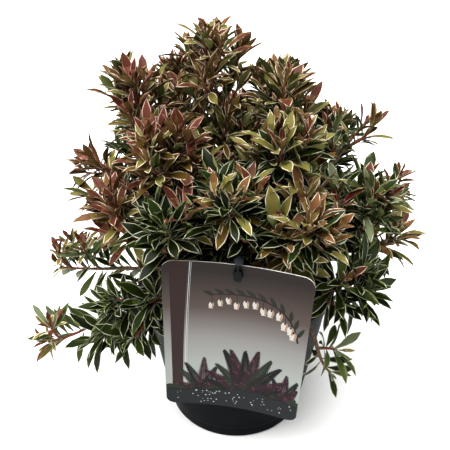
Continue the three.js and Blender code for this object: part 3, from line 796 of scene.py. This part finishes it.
def leaf_vertices(leaves):
    """The vertices of many leaves, arched along their length and folded along their middle. The pale margin
    is narrower on the young ones."""
    root, along, upper = (leaves[k][:, None] for k in ("root", "along", "upper"))
    length, half, arch, fold = (leaves[k][:, None] for k in ("length", "half", "arch", "fold"))
    side = np.cross(along, upper)
    u = np.concatenate([[0], STATIONS, [1]])[None, :]
    width = half * np.concatenate([[0], WIDTHS, [0]])[None, :]
    turn = arch * u
    forward = np.sin(turn) / arch * length
    down = (1 - np.cos(turn)) / arch * length
    middle = root + along * forward[..., None] - upper * down[..., None]
    normal = upper * np.cos(turn)[..., None] + along * np.sin(turn)[..., None]
    rim = LEAF["margin"] * lerp(1.1, 0.6, leaves["age"])[:, None]
    margin = np.clip(1 - rim / np.maximum(width, 1e-6), 0.45, 1)
    wave = LEAF["wave"] * np.sin(9 * u + leaves["phase"][:, None])
    columns = []
    for place, at_rim in ((-1, 1), (-margin, 0), (0, 0), (margin, 0), (1, 1)):
        off = place * width
        rise = np.abs(off) * np.tan(fold) + at_rim * wave * (width > 1)
        columns.append(middle + side * off[..., None] + normal * rise[..., None])
    thick = LEAF["thick"] * np.minimum(1, width / 2 + 0.3)
    columns.append(middle - normal * thick[..., None])
    inner = np.stack(columns, axis=2)[:, 1:-1].reshape(len(root), -1, 3)
    return np.concatenate([middle[:, :1], inner, middle[:, -1:]], axis=1)


def add_leaves(stock, leaves):
    vertices = leaf_vertices(leaves)
    count, each = vertices.shape[:2]
    faces = (LEAF_TRIANGLES[None] + (np.arange(count) * each)[:, None, None]).reshape(-1, 3)
    stock.add(vertices.reshape(-1, 3), faces, slots=leaves["slots"][:, LEAF_PARTS].reshape(-1))


def pick(leaves, chosen):
    return {k: v[chosen] for k, v in leaves.items()}


# ---------------------------------------------------------------- growth of a mass


class Growth:
    """The growth of one mass. The wood of its shoots goes into the stock, and their leaves are gathered."""

    def __init__(self, own, wood):
        self.own, self.mass, self.wood, self.leaves = own, boughs[own], wood, []
        self.random = seeded(SEED["first"] + SEED["step"] * own)
        mass, centre, turned_up = self.mass, self.mass["centre"], ARCHING.get(self.mass["name"], 1)
        rise = UP * MASS["rise"] * turned_up * (2 * mass["flat"] - 1)
        growth = unit(mass["heading"] * MASS["follow"] + centre * (1, 1, 0) / MASS["outward"] + rise)
        if mass["flat"] < 1:
            self.lift = UP
            self.grow_spray(unit(growth * (1, 1, 0.1)))
        else:
            self.lift = unit(growth * 0.4 + UP * turned_up * np.interp(centre[2], *MASS["lifted"]))
            self.grow_mass(growth)

    def grow_mass(self, growth):
        """The stem, its twigs in a spiral with their side shoots, and spurs on the outer half of the bough,
        which close the crown between masses."""
        mass, own, reach, count = self.mass, self.own, self.mass["reach"], self.mass["twigs"]
        stem = self.stem(mass["centre"], mass["centre"] + growth * (reach - 0.6 * LEAF["length"]))
        self.leaf(stem, "stem" if count > 2 else "thin_stem", self.tints_of(stem))
        low_tilt = TWIG_TILT["full" if count > 5 else "thin"]
        for k in range(count):
            tilt = lerp(low_tilt, TWIG_TILT["top"], k / max(1, count - 1))
            away = leaning(growth, math.radians(tilt), GOLDEN * k + TWIG["turn"] * own)
            longest = reach * TWIG["long"] * (0.72 + 0.45 * self.random())
            twig = self.shoot(stem, TWIG["from"] + TWIG["span"] * k / count, away, longest, "twig")
            if twig:
                self.leaf(twig, "twig", self.tints_of(twig))
                on_sides, long = SIDE_SHOOT["places"][: max(0, count - 5)], longest * SIDE_SHOOT["share"]
                plans = ((where, GOLDEN * 2 * k + own + hand, long) for where, hand in on_sides)
                self.offshoots(twig, "side_shoot", SIDE_SHOOT["tilt"], plans)
        places, long = SPUR["places"], SPUR["long"]
        on_bough = enumerate(places[: len(places) - (0 if count > 5 else SPURS_LEFT_OUT)])
        plans = ((where, GOLDEN * k + own, long * (0.85 + 0.4 * self.random())) for k, where in on_bough)
        # Spurs grow inside the crown, so they take its shaded tints: partly painted shade.
        tints = "umber" if mass["tints"][2] == "umber" else "shade"
        self.offshoots(mass["route"], "spur", SPUR["tilt"], plans, tints)

    def grow_spray(self, growth):
        """A sagging stem, with narrow leaves along it, its bough and its twigs, and a whorl at each tip."""
        mass, reach, count = self.mass, self.mass["reach"], self.mass["twigs"]
        tints, tip_tints = mass["tints"]
        side, sag = unit(np.cross(UP, growth)), UP * SPRAY["sag"] * (1 - mass["flat"])
        tip = mass["centre"] + growth * (reach - SPRAY["tip_inside"]) - 0.4 * sag
        stem = self.stem(mass["centre"] - 1.6 * sag, tip)
        self.leaf(stem, "spray", tints)
        self.leaf(mass["route"], "spray_bough", tints)
        self.leaf(stem, "spray_whorl", tip_tints)
        for k in range(count):
            away = unit(growth * 0.8 + UP * 0.9 + side * (0.5 if k % 2 else -0.5))
            longest = reach * SPRAY["twig_long"] * (0.72 + 0.45 * self.random())
            twig = self.shoot(stem, lerp(0.1, 0.8, k / (count - 1)), away, longest, "twig")
            if twig:
                self.leaf(twig, "spray_twig", tints)
                self.leaf(twig, "spray_twig_whorl", tip_tints)

    def stem(self, knee, tip):
        stem = bent(self.mass["end"], knee, tip, 40)
        self.add_wood(stem, "stem")
        return stem

    def shoot(self, route, where, away, longest, kind):
        """A shoot that leaves its route in one direction and bends up, as long as there is room for."""
        start = route.at(where)
        for share in SHOOT["lengths"]:
            half = max(SHOOT["least"], share * longest) / 2
            knee = start + away * half
            end = knee + unit(lerp(away, self.lift, SHOOT["bend"])) * half
            shoot = bent(start, knee, end, 24)
            if clear(shoot.at(SHOOT["probes"]), self.own, WOOD[kind][0][0], -SHOOT["inside"]).all():
                self.add_wood(shoot, kind)
                return shoot
        return None

    def offshoots(self, route, kind, tilt, plans, tints=None):
        """Shoots on a twig or on the bough, from a place, a turn and a length for each."""
        for where, turn, long in plans:
            away = leaning(route.heading(where), math.radians(tilt), turn)
            shoot = self.shoot(route, where, away, long, kind)
            if shoot:
                self.leaf(shoot, kind, tints or self.tints_of(shoot))

    def add_wood(self, route, kind):
        """The wood of one shoot: old bark low on it, and this year's red skin above."""
        (root, tip), steps, sides, young_from = WOOD[kind]
        shares = np.linspace(0, 1, steps + 1)
        vertices, quads, caps = tube(route.at(shares), lerp(root, tip, shares), sides)
        young = np.arange(len(quads)) >= int(young_from * steps) * sides
        self.wood.add(vertices, quads, caps, slots=[young, np.repeat(young[[0, -1]], sides)])

    def tints_of(self, route):
        """The tints of one shoot: the last of its mass's, darker and partly painted shade, on those in the
        shade and on a few others, else the second on some, and the first on most."""
        most, some, shaded = self.mass["tints"]
        light_from = self.mass["centre"][2] + LIT_FROM[shaded] * self.mass["reach"]
        chance = self.random()
        if route.at(1)[2] < light_from or chance < TINT_CHANCES["shaded"]:
            return shaded
        return some if chance < TINT_CHANCES["some"] else most

    def leaf(self, route, kind, tints):
        """Leaves one shoot in a spiral, from the oldest low on it to the youngest at its tip. The leaves
        along a spray are narrow, and stand evenly on either hand."""
        count, first, scale = LEAFING[kind]
        mass, random, narrow, nth = self.mass, self.random, kind in ALONG_A_SPRAY, np.arange(count)
        age = np.linspace(0, 1, count)
        share = first + (1 - first) * (age if narrow else np.interp(age, FLUSH["ages"], FLUSH["places"]))
        draws = np.array([[random() for _ in range(7)] for _ in range(count)])
        first_turn, axis = 2 * np.pi * random(), route.heading(share)
        if narrow:
            turn = np.pi * (nth + 0.5) + 1.7 * (draws[:, 0] - 0.5)
            widest, spread, upright = 68, 3.5, 1.9 - 2.2 * mass["flat"]
            facing = np.array([0, -0.7, 0.6])
        else:
            turn = first_turn + GOLDEN * nth + 0.5 * draws[:, 0]
            widest, spread = 54 + 26 * random(), 1.0 + 1.2 * random()
            upright = np.interp(mass["centre"][2], *UPRIGHT)
            facing = axis * 0.6 + UP * 0.55
        tilt = np.radians(lerp(widest, 13, age**spread) + 20 * (draws[:, 1] - 0.5))
        along = unit(np.array([leaning(*lean) for lean in zip(axis, tilt, turn)]) + UP * upright)
        upper = unit(facing - along * (facing * along).sum(axis=1, keepdims=True))
        twist = 0.5 * (draws[:, 2:3] - 0.5)
        upper = unit(upper + np.cross(along, upper) * twist)
        # The youngest leaves haven't grown out yet.
        grown = np.where(age < 0.72, 0.82 + 0.25 * age, lerp(1.0, 0.36, (age - 0.72) / 0.28))
        length = scale * LEAF["length"] * mass["leaf"] * grown * (0.88 + 0.24 * draws[:, 3])
        half = 0.5 * length * LEAF["width"] / LEAF["length"] * (NARROW if narrow else 1)
        arch = lerp(0.75, 0.12, age) + 0.5 * (draws[:, 6] - 0.5) + 0.02
        kinds = [LEAF_KINDS[name] for name in SHOOT_TINTS[tints].split()]
        step = np.clip((age**1.15 * len(kinds) + 0.9 * (draws[:, 5] - 0.5)).astype(int), 0, len(kinds) - 1)
        leaves = {
            "root": route.at(share) + along * 0.4,
            "along": along,
            "upper": upper,
            "length": length,
            "half": half * (0.86 + 0.26 * draws[:, 4]),
            "arch": np.where(np.abs(arch) < 0.05, 0.05, arch),
            "fold": np.radians(lerp(9, 27, age)),
            "phase": 6.28 * draws[:, 0],
            "age": age,
            "slots": np.array([[LEAF_SLOT[part] for part in kinds[s].split()] for s in step]),
        }
        self.settle(leaves, SPRAY["tip_over"] if narrow else SETTLING["over"])

    def settle(self, leaves, over):
        """Keeps each leaf that lies clear at its full length, or shorter."""
        waiting = np.ones(len(leaves["age"]), bool)
        for share in SETTLING["lengths"]:
            tried = {**leaves, "length": leaves["length"] * share}
            tried["half"] = leaves["half"] * lerp(1, share, 0.6)
            probes = leaf_vertices(tried)[:, PROBES]
            good = clear(probes, self.own, SETTLING["room"], over).all(axis=1) & waiting
            if good.any():
                self.leaves.append(pick(tried, good))
            waiting &= ~good


def make_foliage():
    """Grows every mass, and joins old leaves, young leaves and twigs, each kind apart."""
    wood = Stock()
    grown = {bough["name"]: Growth(own, wood).leaves for own, bough in enumerate(boughs)}
    for tier, names in TIERS.items():
        names = names.split()
        for kind in ("old", "young"):
            stock = Stock()
            for leaves in (some for name in names for some in grown[name]):
                chosen = (leaves["age"] >= YOUNG_FROM) == (kind == "young")
                if chosen.any():
                    add_leaves(stock, pick(leaves, chosen))
            nodes = ["foliage_" + name for name in names] if kind == "old" else []
            add_piece(stock.mesh(f"leaves_{kind}_{tier}", leaf_materials, sharp=80), nodes)
    add_piece(wood.mesh("twigs", [old_bark, young_bark], sharp=75))


# ---------------------------------------------------------------- pot and compost


def pot_outer(z):
    """The radius of the pot's wall at a height."""
    return POT["base"] + (POT["rim"] - POT["lip_out"] - POT["base"]) * z / POT["height"]


def make_pot():
    """The pot: a tapered wall with a faint step low on it, a rounded heel, a lip and six drain holes."""
    height, wall, floor, heel = (POT[k] for k in ("height", "wall", "floor", "heel"))
    under_lip = height - POT["lip_deep"]
    profile = [(0, 0), (POT["base"] - heel, 0), (POT["base"], heel)]
    profile += [(pot_outer(z) - drawn_in, z) for z, drawn_in in POT_STEPS]
    profile += [(pot_outer(under_lip) - 0.4, under_lip)]
    profile += [(pot_outer(under_lip) + POT["lip_out"], under_lip + 2)]
    profile += [(POT["rim"], height - 1.6), (POT["rim"] - 1.4, height)]
    profile += [(pot_outer(height) - wall, height), (pot_outer(floor) - wall, floor), (0, floor)]
    shell = solid("pot_shell", turned(rounded(profile, 0.9), 144), pot_plastic, 38)
    drills = []
    for k in range(DRAIN["holes"]):
        turn = 2 * np.pi * (k + 0.5) / DRAIN["holes"]
        centre = np.array([DRAIN["circle"] * np.cos(turn), DRAIN["circle"] * np.sin(turn), 0])
        drills.append(tube([centre - UP * 4, centre, centre + UP * 8], [DRAIN["radius"]] * 3, 32))
    add_piece(bored("pot_black", shell, drills), ["pot"])


def make_compost():
    """The compost's bed with a pitted top, and loose crumbs and bark chips lying on it."""
    bottom, shoulder = POT["floor"] + 0.3, COMPOST_TOP - COMPOST["crown"]

    def edge(z):
        return pot_outer(z) - POT["wall"] - COMPOST["gap"]

    rim, level_to = edge(shoulder), edge(POT["height"]) * COMPOST["level"]

    def top(away):
        return np.interp(away, [level_to, rim], [COMPOST_TOP, shoulder])

    profile = [(0, bottom), (edge(bottom), bottom), *((r, top(r)) for r in np.linspace(rim, 0, 40))]
    vertices, quads, caps = turned(profile, 120)
    on_top = (vertices[:, 2] > shoulder + 0.2) & (np.hypot(vertices[:, 0], vertices[:, 1]) < rim - 1)
    pits = 0.7 * ripple(vertices * [1, 1, 0], 9) + 0.5 * ripple(vertices * [1, -1, 0] + 5, 4.3)
    vertices[:, 2] += np.where(on_top, pits - 0.4, 0)
    add_piece(solid("compost_bed", (vertices, quads, caps), compost_crumbs, 75), ["compost"])

    random, stock, ball = seeded(SEED["crumbs"]), Stock(), bmesh.new()
    bmesh.ops.create_icosphere(ball, subdivisions=1, radius=1)
    corners = np.array([v.co for v in ball.verts])
    faces = np.array([[v.index for v in f.verts] for f in ball.faces])
    ball.free()
    for k in range(CRUMBS["count"]):
        chip = k % CRUMBS["chip_every"] == 0
        away, turn = (rim - 5) * math.sqrt(random()), 2 * np.pi * random()
        if away < CRUMBS["none_within"]:
            continue
        if chip:
            size = np.array([3.6 + 3 * random(), 1.6 + random(), 0.7])
        else:
            size = (0.7 + 1.3 * random()) * np.array([1.2, 1, 0.7])
        shape = corners * size * (0.8 + 0.4 * np.array([[random()] for _ in corners]))
        spin = np.array(Euler((0.5 * random(), 0.5 * random(), 6.28 * random())).to_matrix())
        place = np.array([away * math.cos(turn), away * math.sin(turn), top(away) + 0.3 * size[2]])
        stock.add(shape @ spin.T + place, faces, slots=int(chip))
    add_piece(stock.mesh("compost_crumbs", [compost_crumbs, bark_chips], sharp=30))


# ---------------------------------------------------------------- label and tie


def bow_at(x):
    return -LABEL["bow"] * (2 * np.asarray(x) / LABEL["width"]) ** 2


def make_card():
    """The bowed card: corners rounded, white through its thickness and behind, printed in front."""
    corner, thick, steps = LABEL["corner"], LABEL["thick"], 40
    arc = np.radians(np.linspace(90, 0, 10))
    left = -(HALF_WIDTH - corner) - corner * np.sin(arc)
    ends = HALF_HEIGHT - corner + corner * np.cos(arc)
    xs = np.concatenate([left, np.linspace(left[-1], -left[-1], 34)[1:-1], -left[::-1]])
    tops = np.concatenate([ends, np.full(32, HALF_HEIGHT), ends[::-1]])
    grid_x = np.repeat(xs[:, None], steps + 1, axis=1)
    grid_z = tops[:, None] * np.linspace(-1, 1, steps + 1)
    front = np.stack([grid_x, bow_at(grid_x) - thick / 2, grid_z], axis=-1).reshape(-1, 3)
    count, index = len(front), np.arange(len(front)).reshape(len(xs), steps + 1)
    a = index[:-1, :-1].reshape(-1)
    quads = rows(a, a + steps + 1, a + steps + 2, a + 1)
    round_edge = np.concatenate([index[:, 0], index[-1, 1:], index[-2::-1, -1], index[0, -2:0:-1]])
    after = np.roll(round_edge, -1)
    rim = rows(round_edge, round_edge + count, after + count, after)
    faces = np.concatenate([quads, quads[:, ::-1] + count, rim])
    slots = np.arange(len(faces)) >= len(quads)
    sides = np.concatenate([front, front + [0, thick, 0]])
    blank = Stock().add(sides, faces, slots=slots).mesh("label_blank", [card_print, card_white])
    drill = tube([[0, y, HOLE_HEIGHT] for y in (-9, 0, 9)], [TIE["hole"]] * 3, 40)
    add_piece(bored("label_card", blank, [drill]), ["label"], label_in_metres)


class Print:
    """Flat shapes on the front of the bowed card, each a closed slab of ink, hundredths of a millimetre
    thick."""

    def __init__(self):
        self.stock, self.slots = Stock(), list(inks)

    def fan(self, outline, ink, lift=0.08):
        """A shape that its middle sees all round."""
        count = len(outline)
        j = np.arange(count)
        top = rows(j, (j + 1) % count, np.full(count, count))
        self.slab(np.concatenate([outline, outline.mean(axis=0, keepdims=True)]), top, j, ink, lift)

    def strip(self, lower, upper, ink, lift=0.06):
        """The band between two lines of equal numbers of points."""
        count = len(lower)
        j, all_along = np.arange(count - 1), np.arange(count)
        halves = [rows(j, j + 1, count + j + 1), rows(j, count + j + 1, count + j)]
        rim = np.concatenate([all_along, count + all_along[::-1]])
        self.slab(np.concatenate([lower, upper]), np.concatenate(halves), rim, ink, lift)

    def slab(self, points, top, rim, ink, lift):
        first, second, third = points[top[0]]
        if np.cross(second - first, third - first) < 0:
            top, rim = top[:, ::-1], rim[::-1]
        x, z = points.T
        front, back = (rows(x, bow_at(x) - LABEL["thick"] / 2 - up, z) for up in (lift, 0.01))
        count, after = len(points), np.roll(rim, -1)
        sides = [rows(rim, rim + count, after + count), rows(rim, after + count, after)]
        faces = np.concatenate([top, top[:, ::-1] + count, *sides])
        self.stock.add(np.concatenate([front, back]), faces, slots=self.slots.index(ink))


def placed(points, root, turn):
    """The points, turned and moved to root."""
    c, s = math.cos(turn), math.sin(turn)
    return np.asarray(root) + points @ np.array([[c, s], [-s, c]])


def leaf_outline(root, turn, length, width):
    """A lance-shaped leaf on the card."""
    u = np.linspace(0, 1, 9)
    half = width / 2 * np.sin(np.pi * u**0.85) ** 0.9
    return placed(np.concatenate([rows(u * length, half), rows(u * length, -half)[-2:0:-1]]), root, turn)


def bell_outline(root, size, lean, share=1.0):
    """A small hanging bell blossom: narrow neck, round body, and a mouth with a turned rim. Under a share
    of 1 its left half is drawn in."""
    half = [(0.1, 0), (0.24, -0.1), (0.33, -0.32), (0.34, -0.58), (0.27, -0.84), (0.2, -0.96), (0.3, -1.08)]
    return placed(np.array(half + [(-x * share, z) for x, z in half[::-1]]) * size, root, lean)


def print_stem(printed, route, wide, ink, lift):
    shares = np.linspace(0, 1, 14)
    points, heading = route.at(shares)[:, :2], route.heading(shares)[:, :2]
    off = rows(-heading[:, 1], heading[:, 0]) * (wide * lerp(1, 0.5, shares))[:, None] / 2
    printed.strip(points - off, points + off, ink, lift)


def corner_inset(along, half):
    """How far a rounded corner of the card draws in its edge."""
    inset = np.maximum(0, np.abs(along) - (half - LABEL["corner"]))
    return LABEL["corner"] - np.sqrt(np.maximum(0, LABEL["corner"] ** 2 - inset**2)) + EDGE


def print_band(printed):
    """A dark band down the left side, with two pale lines beside it."""
    z = np.linspace(EDGE - HALF_HEIGHT, HALF_HEIGHT - EDGE, 60)
    left = np.maximum(-HALF_WIDTH + 6, -HALF_WIDTH + corner_inset(z, HALF_HEIGHT))
    right = -HALF_WIDTH + 15 + 5 * ((z + HALF_HEIGHT) / LABEL["height"]) ** 2
    printed.strip(rows(right, z), rows(left, z), "brown")
    for apart, wide in ((1.5, 0.45), (2.8, 0.25)):
        printed.strip(rows(right + apart + wide, z), rows(right + apart, z), "pale")


def print_mound(printed):
    """A mossy ridge along the foot of the card, and a dark bank in front of it."""
    x = np.linspace(EDGE - HALF_WIDTH, HALF_WIDTH - EDGE, 90)
    for ink, top, lift in (("moss", -57, 0.1), ("earth", -63, 0.34)):
        hill = 6 * np.exp(-(((x - 14) / 30) ** 2))
        ridge = top + hill + 0.9 * np.sin(x / 3.1 + top) + 0.5 * np.sin(x * 1.1)
        printed.strip(rows(x, -HALF_HEIGHT + corner_inset(x, HALF_WIDTH)), rows(x, ridge), ink, lift)


def print_fern(printed, foot, size, fronds, lift, random):
    """Fronds that arch out of one foot, with slim leaflets on both sides that shorten towards the tip."""
    foot = np.array([*foot, 0.0])
    for k in range(fronds):
        share = k / (fronds - 1)
        turn = math.radians(lerp(152, 28, share) + 8 * (random() - 0.5))
        cos, sin = math.cos(turn), math.sin(turn)
        long = size * (0.72 + 0.28 * math.sin(math.pi * share)) * (0.85 + 0.2 * random())
        knee = foot + long * 0.62 * np.array([0.7 * cos, sin, 0])
        tip = knee + long * 0.5 * unit(np.array([cos, 0.9 * sin - 0.1, 0]))
        tip[0] = np.clip(tip[0], 6 - HALF_WIDTH, HALF_WIDTH - 3)
        route = bent(foot, knee, tip, 40)
        lift += 0.004
        ink = ("plum", "black", "plum", "moss", "black")[(k + fronds) % 5]
        print_stem(printed, route, 1.1, ink, lift)
        leaflets = int(long / 1.15)
        for j in range(leaflets):
            along = 0.1 + 0.9 * j / leaflets
            at, heading = route.at(along)[:2], route.heading(along)[:2]
            lean = math.radians(lerp(70, 44, along)) * (1 if j % 2 else -1)
            length = 0.2 * long * (1 - along) ** 0.75 * min(1, 0.4 + 2.4 * along) + 1.2
            leaflet = leaf_outline(at, math.atan2(heading[1], heading[0]) + lean, length, 1.9)
            if np.abs(leaflet[:, 0]).max() < HALF_WIDTH - 1.2:
                printed.fan(leaflet, "rose" if ink == "plum" and j % 7 == 0 else ink, lift)


def print_spray(printed, random):
    """The arching spray: slim leaves above it, and bells that hang from it on short stalks."""
    route = bent(*(np.array([*at, 0.0]) for at in SPRAY_PRINT["route"]), 40)
    print_stem(printed, route, 1.5, "plum", 0.1)
    leaves, bells = SPRAY_PRINT["leaves"], SPRAY_PRINT["bells"]
    for j in range(leaves):
        share = 0.06 + 0.9 * j / (leaves - 1)
        at, heading = route.at(share)[:2], route.heading(share)[:2]
        turn = math.atan2(heading[1], heading[0]) + math.radians(-38 + 14 * random())
        printed.fan(leaf_outline(at, turn, 13 - 4 * share, 3.4), "moss", 0.09)
    for j in range(bells):
        x, z, _ = route.at(0.16 + 0.82 * j / (bells - 1))
        drop = 2.5 + 4.5 * (j % 3) / 2 + random()
        aside = x + 1.2 * (random() - 0.5)
        stalk = threaded([(x, z, 0), (aside, z - drop * 0.5, 0), (aside, z - drop, 0)])
        print_stem(printed, stalk, 0.5, "plum", 0.12)
        root, size, lean = stalk.at(1)[:2], 8.6 - 0.22 * j, 0.3 * (random() - 0.5)
        printed.fan(bell_outline(root, size, lean), "white", 0.14)
        printed.fan(bell_outline(root, size * 0.96, lean, -0.35), "peach", 0.15)
        printed.fan(bell_outline(root + [0, 0.3], size * 0.28, lean), "plum", 0.16)


def print_specks(printed, random):
    """Pale specks over the foot of the ferns."""
    for _ in range(60):
        spot = np.array([lerp(-50, 54, random()), lerp(-79, -62, random())])
        size, turns = 0.3 + 0.4 * random(), np.linspace(0, 2 * np.pi, 9)[:-1]
        printed.fan(spot + size * rows(np.cos(turns), np.sin(turns)), "pale", 0.37)


def make_print():
    """The card's picture, of no one's design: a dark band down one side, ferns over a dark bank along the
    foot, and an arching spray of small bells above."""
    printed, random = Print(), seeded(SEED["print"])
    print_band(printed)
    print_mound(printed)
    for lift, (foot, size, fronds) in zip((0.12, 0.18, 0.24), FERNS):
        print_fern(printed, foot, size, fronds, lift, random)
    print_spray(printed, random)
    print_specks(printed, random)
    mesh = printed.stock.mesh("label_print", list(inks.values()), sharp=30)
    add_piece(mesh, (), label_in_metres)


def on_label(x, y, z):
    """A place given from the label's middle, in the part's frame."""
    return np.array(label_matrix @ Vector((x, y, z)))


def add_tie_head(stock, front):
    """The tie's locking head: it tapers to its nose, and a slot shows where the strap locks."""
    width, deep, tall = (s / 2 for s in TIE["head"])
    outline = [(-0.62, -1), (0.62, -1), (1, -0.45), (1, 0.62), (0.7, 1), (-0.7, 1), (-1, 0.62), (-1, -0.45)]
    rings = []
    for y, size in ((1, 0.86), (0.7, 1), (-0.6, 1), (-0.94, 0.86), (-1, 0.5), (-0.8, 0.42)):
        high = tall * (size if size < 0.8 else lerp(1, size, 0.6))
        rings += [on_label(x * width * size, front + y * deep, HOLE_HEIGHT + z * high) for x, z in outline]
    sides, last = len(outline), len(rings) - len(outline)
    j = np.arange(1, sides - 1)
    caps = [rows(0 * j, j + 1, j), rows(last + 0 * j, last + j, last + j + 1)]
    stock.add(np.array(rings), ring_faces(len(rings) // sides, sides), np.concatenate(caps))


def make_tie():
    """The tie: a strap through the card's hole and round the bough behind, a locking head and a ball."""
    held_by = next(b for b in boughs if b["name"] == "front_centre")["route"]
    lower, upper = held_by.at(TIE_LOOP["from"]), held_by.at(1.0)
    held, along = lerp(lower, upper, TIE_LOOP["held"]), unit(upper - lower)
    behind = unit(np.array([0.0, 1, 0]) - along * along[1])
    side = np.cross(along, behind)
    room = lerp(BOUGH["root"], BOUGH["tip"], TIE_LOOP["from"]) + TIE["strap"] + TIE_LOOP["slack"]
    turns = [math.radians(t) for t in TIE_LOOP["turns"]]
    around = [held + room * (behind * math.cos(t) + side * math.sin(t)) for t in turns]
    thick, over = LABEL["thick"], HALF_HEIGHT + TIE_LOOP["above"]
    front = -thick / 2 - TIE["head"][1] / 2 - 0.3
    route = threaded(
        [
            on_label(0, front, HOLE_HEIGHT),
            on_label(0, thick + TIE_LOOP["behind"], HOLE_HEIGHT),
            *around,
            on_label(0, thick + TIE_LOOP["behind"] + 1, over),
            on_label(0, front - 1, over),
            on_label(0, front, HOLE_HEIGHT + 2),
        ]
    )
    shares = np.linspace(0, 1, 150)
    ribs = 1 + 0.06 * np.sin(shares * route.length * 2 * np.pi / TIE["rib_every"])
    stock = Stock()
    stock.add(*tube(route.at(shares), TIE["strap"] * 0.96 * ribs, 10))
    add_tie_head(stock, front)
    add_piece(stock.mesh("tie_strap", [tie_plastic], sharp=32), ["label_tie"])
    ball, profile = TIE["ball"], []
    for t in np.linspace(-80, 80, 21):
        seam = 0.35 * math.exp(-((t / 5) ** 2))
        profile.append(((ball + seam - 0.35) * math.cos(math.radians(t)), ball * math.sin(math.radians(t))))
    vertices, quads, caps = turned([(0, -ball), *profile, (0, ball)], 40)
    vertices += on_label(0, -1, HALF_HEIGHT + ball + 0.6)
    add_piece(solid("tie_ball", (vertices, quads, caps), ball_plastic, 60))


# ---------------------------------------------------------------- camera, floor and light


def put(name, data, at):
    """An object of the stage, in its place in metres."""
    made = bpy.data.objects.new(name, data)
    made.location = at
    bpy.context.scene.collection.objects.link(made)
    return made


def make_camera():
    data = bpy.data.cameras.new("camera")
    data.lens, data.sensor_width = CAMERA["lens"], CAMERA["sensor"]
    camera = put("camera", data, Vector(CAMERA["at"]) * MM)
    camera.rotation_euler = Euler((math.radians(CAMERA["tilt"]), 0, 0))
    bpy.context.scene.camera = camera


def make_floor():
    """A wide off-white studio floor, matt."""
    material = emptied(bpy.data.materials.new("studio_floor"))
    surface(material, base_color=linear("f4f4f3"), roughness=0.9)
    corners = [[x * FLOOR_REACH, y * FLOOR_REACH, 0] for x, y in ((-1, -1), (1, -1), (1, 1), (-1, 1))]
    mesh = solid("studio_floor", (corners, [[0, 1, 2, 3]]), material, 40)
    floor = put("studio_floor", mesh, (0, 0, 0))


def make_light():
    """Soft studio light: a wide softbox overhead, a weaker one from the front left, and a pale room."""
    world = emptied(bpy.data.worlds.new("studio"))
    room = node(world, "ShaderNodeBackground", {"Color": linear("ffffff"), "Strength": ROOM_LIGHT})
    node(world, "ShaderNodeOutputWorld", {"Surface": (room, "Background")})
    bpy.context.scene.world = world
    for name, at, wide, power in LAMPS:
        data = bpy.data.lights.new(name, "SUN")
        data.angle, data.energy = math.radians(wide), power
        lamp = put(name, data, at)
        lamp.rotation_euler = (Vector(LIT_POINT) - Vector(at)).to_track_quat("-Z", "Y").to_euler()
    view = bpy.context.scene.view_settings
    view.view_transform, view.look = "Standard", "Medium High Contrast"


make_camera()
make_floor()
make_light()
make_pot()
make_compost()
make_trunk()
make_boughs()
make_foliage()
make_card()
make_print()
make_tie()
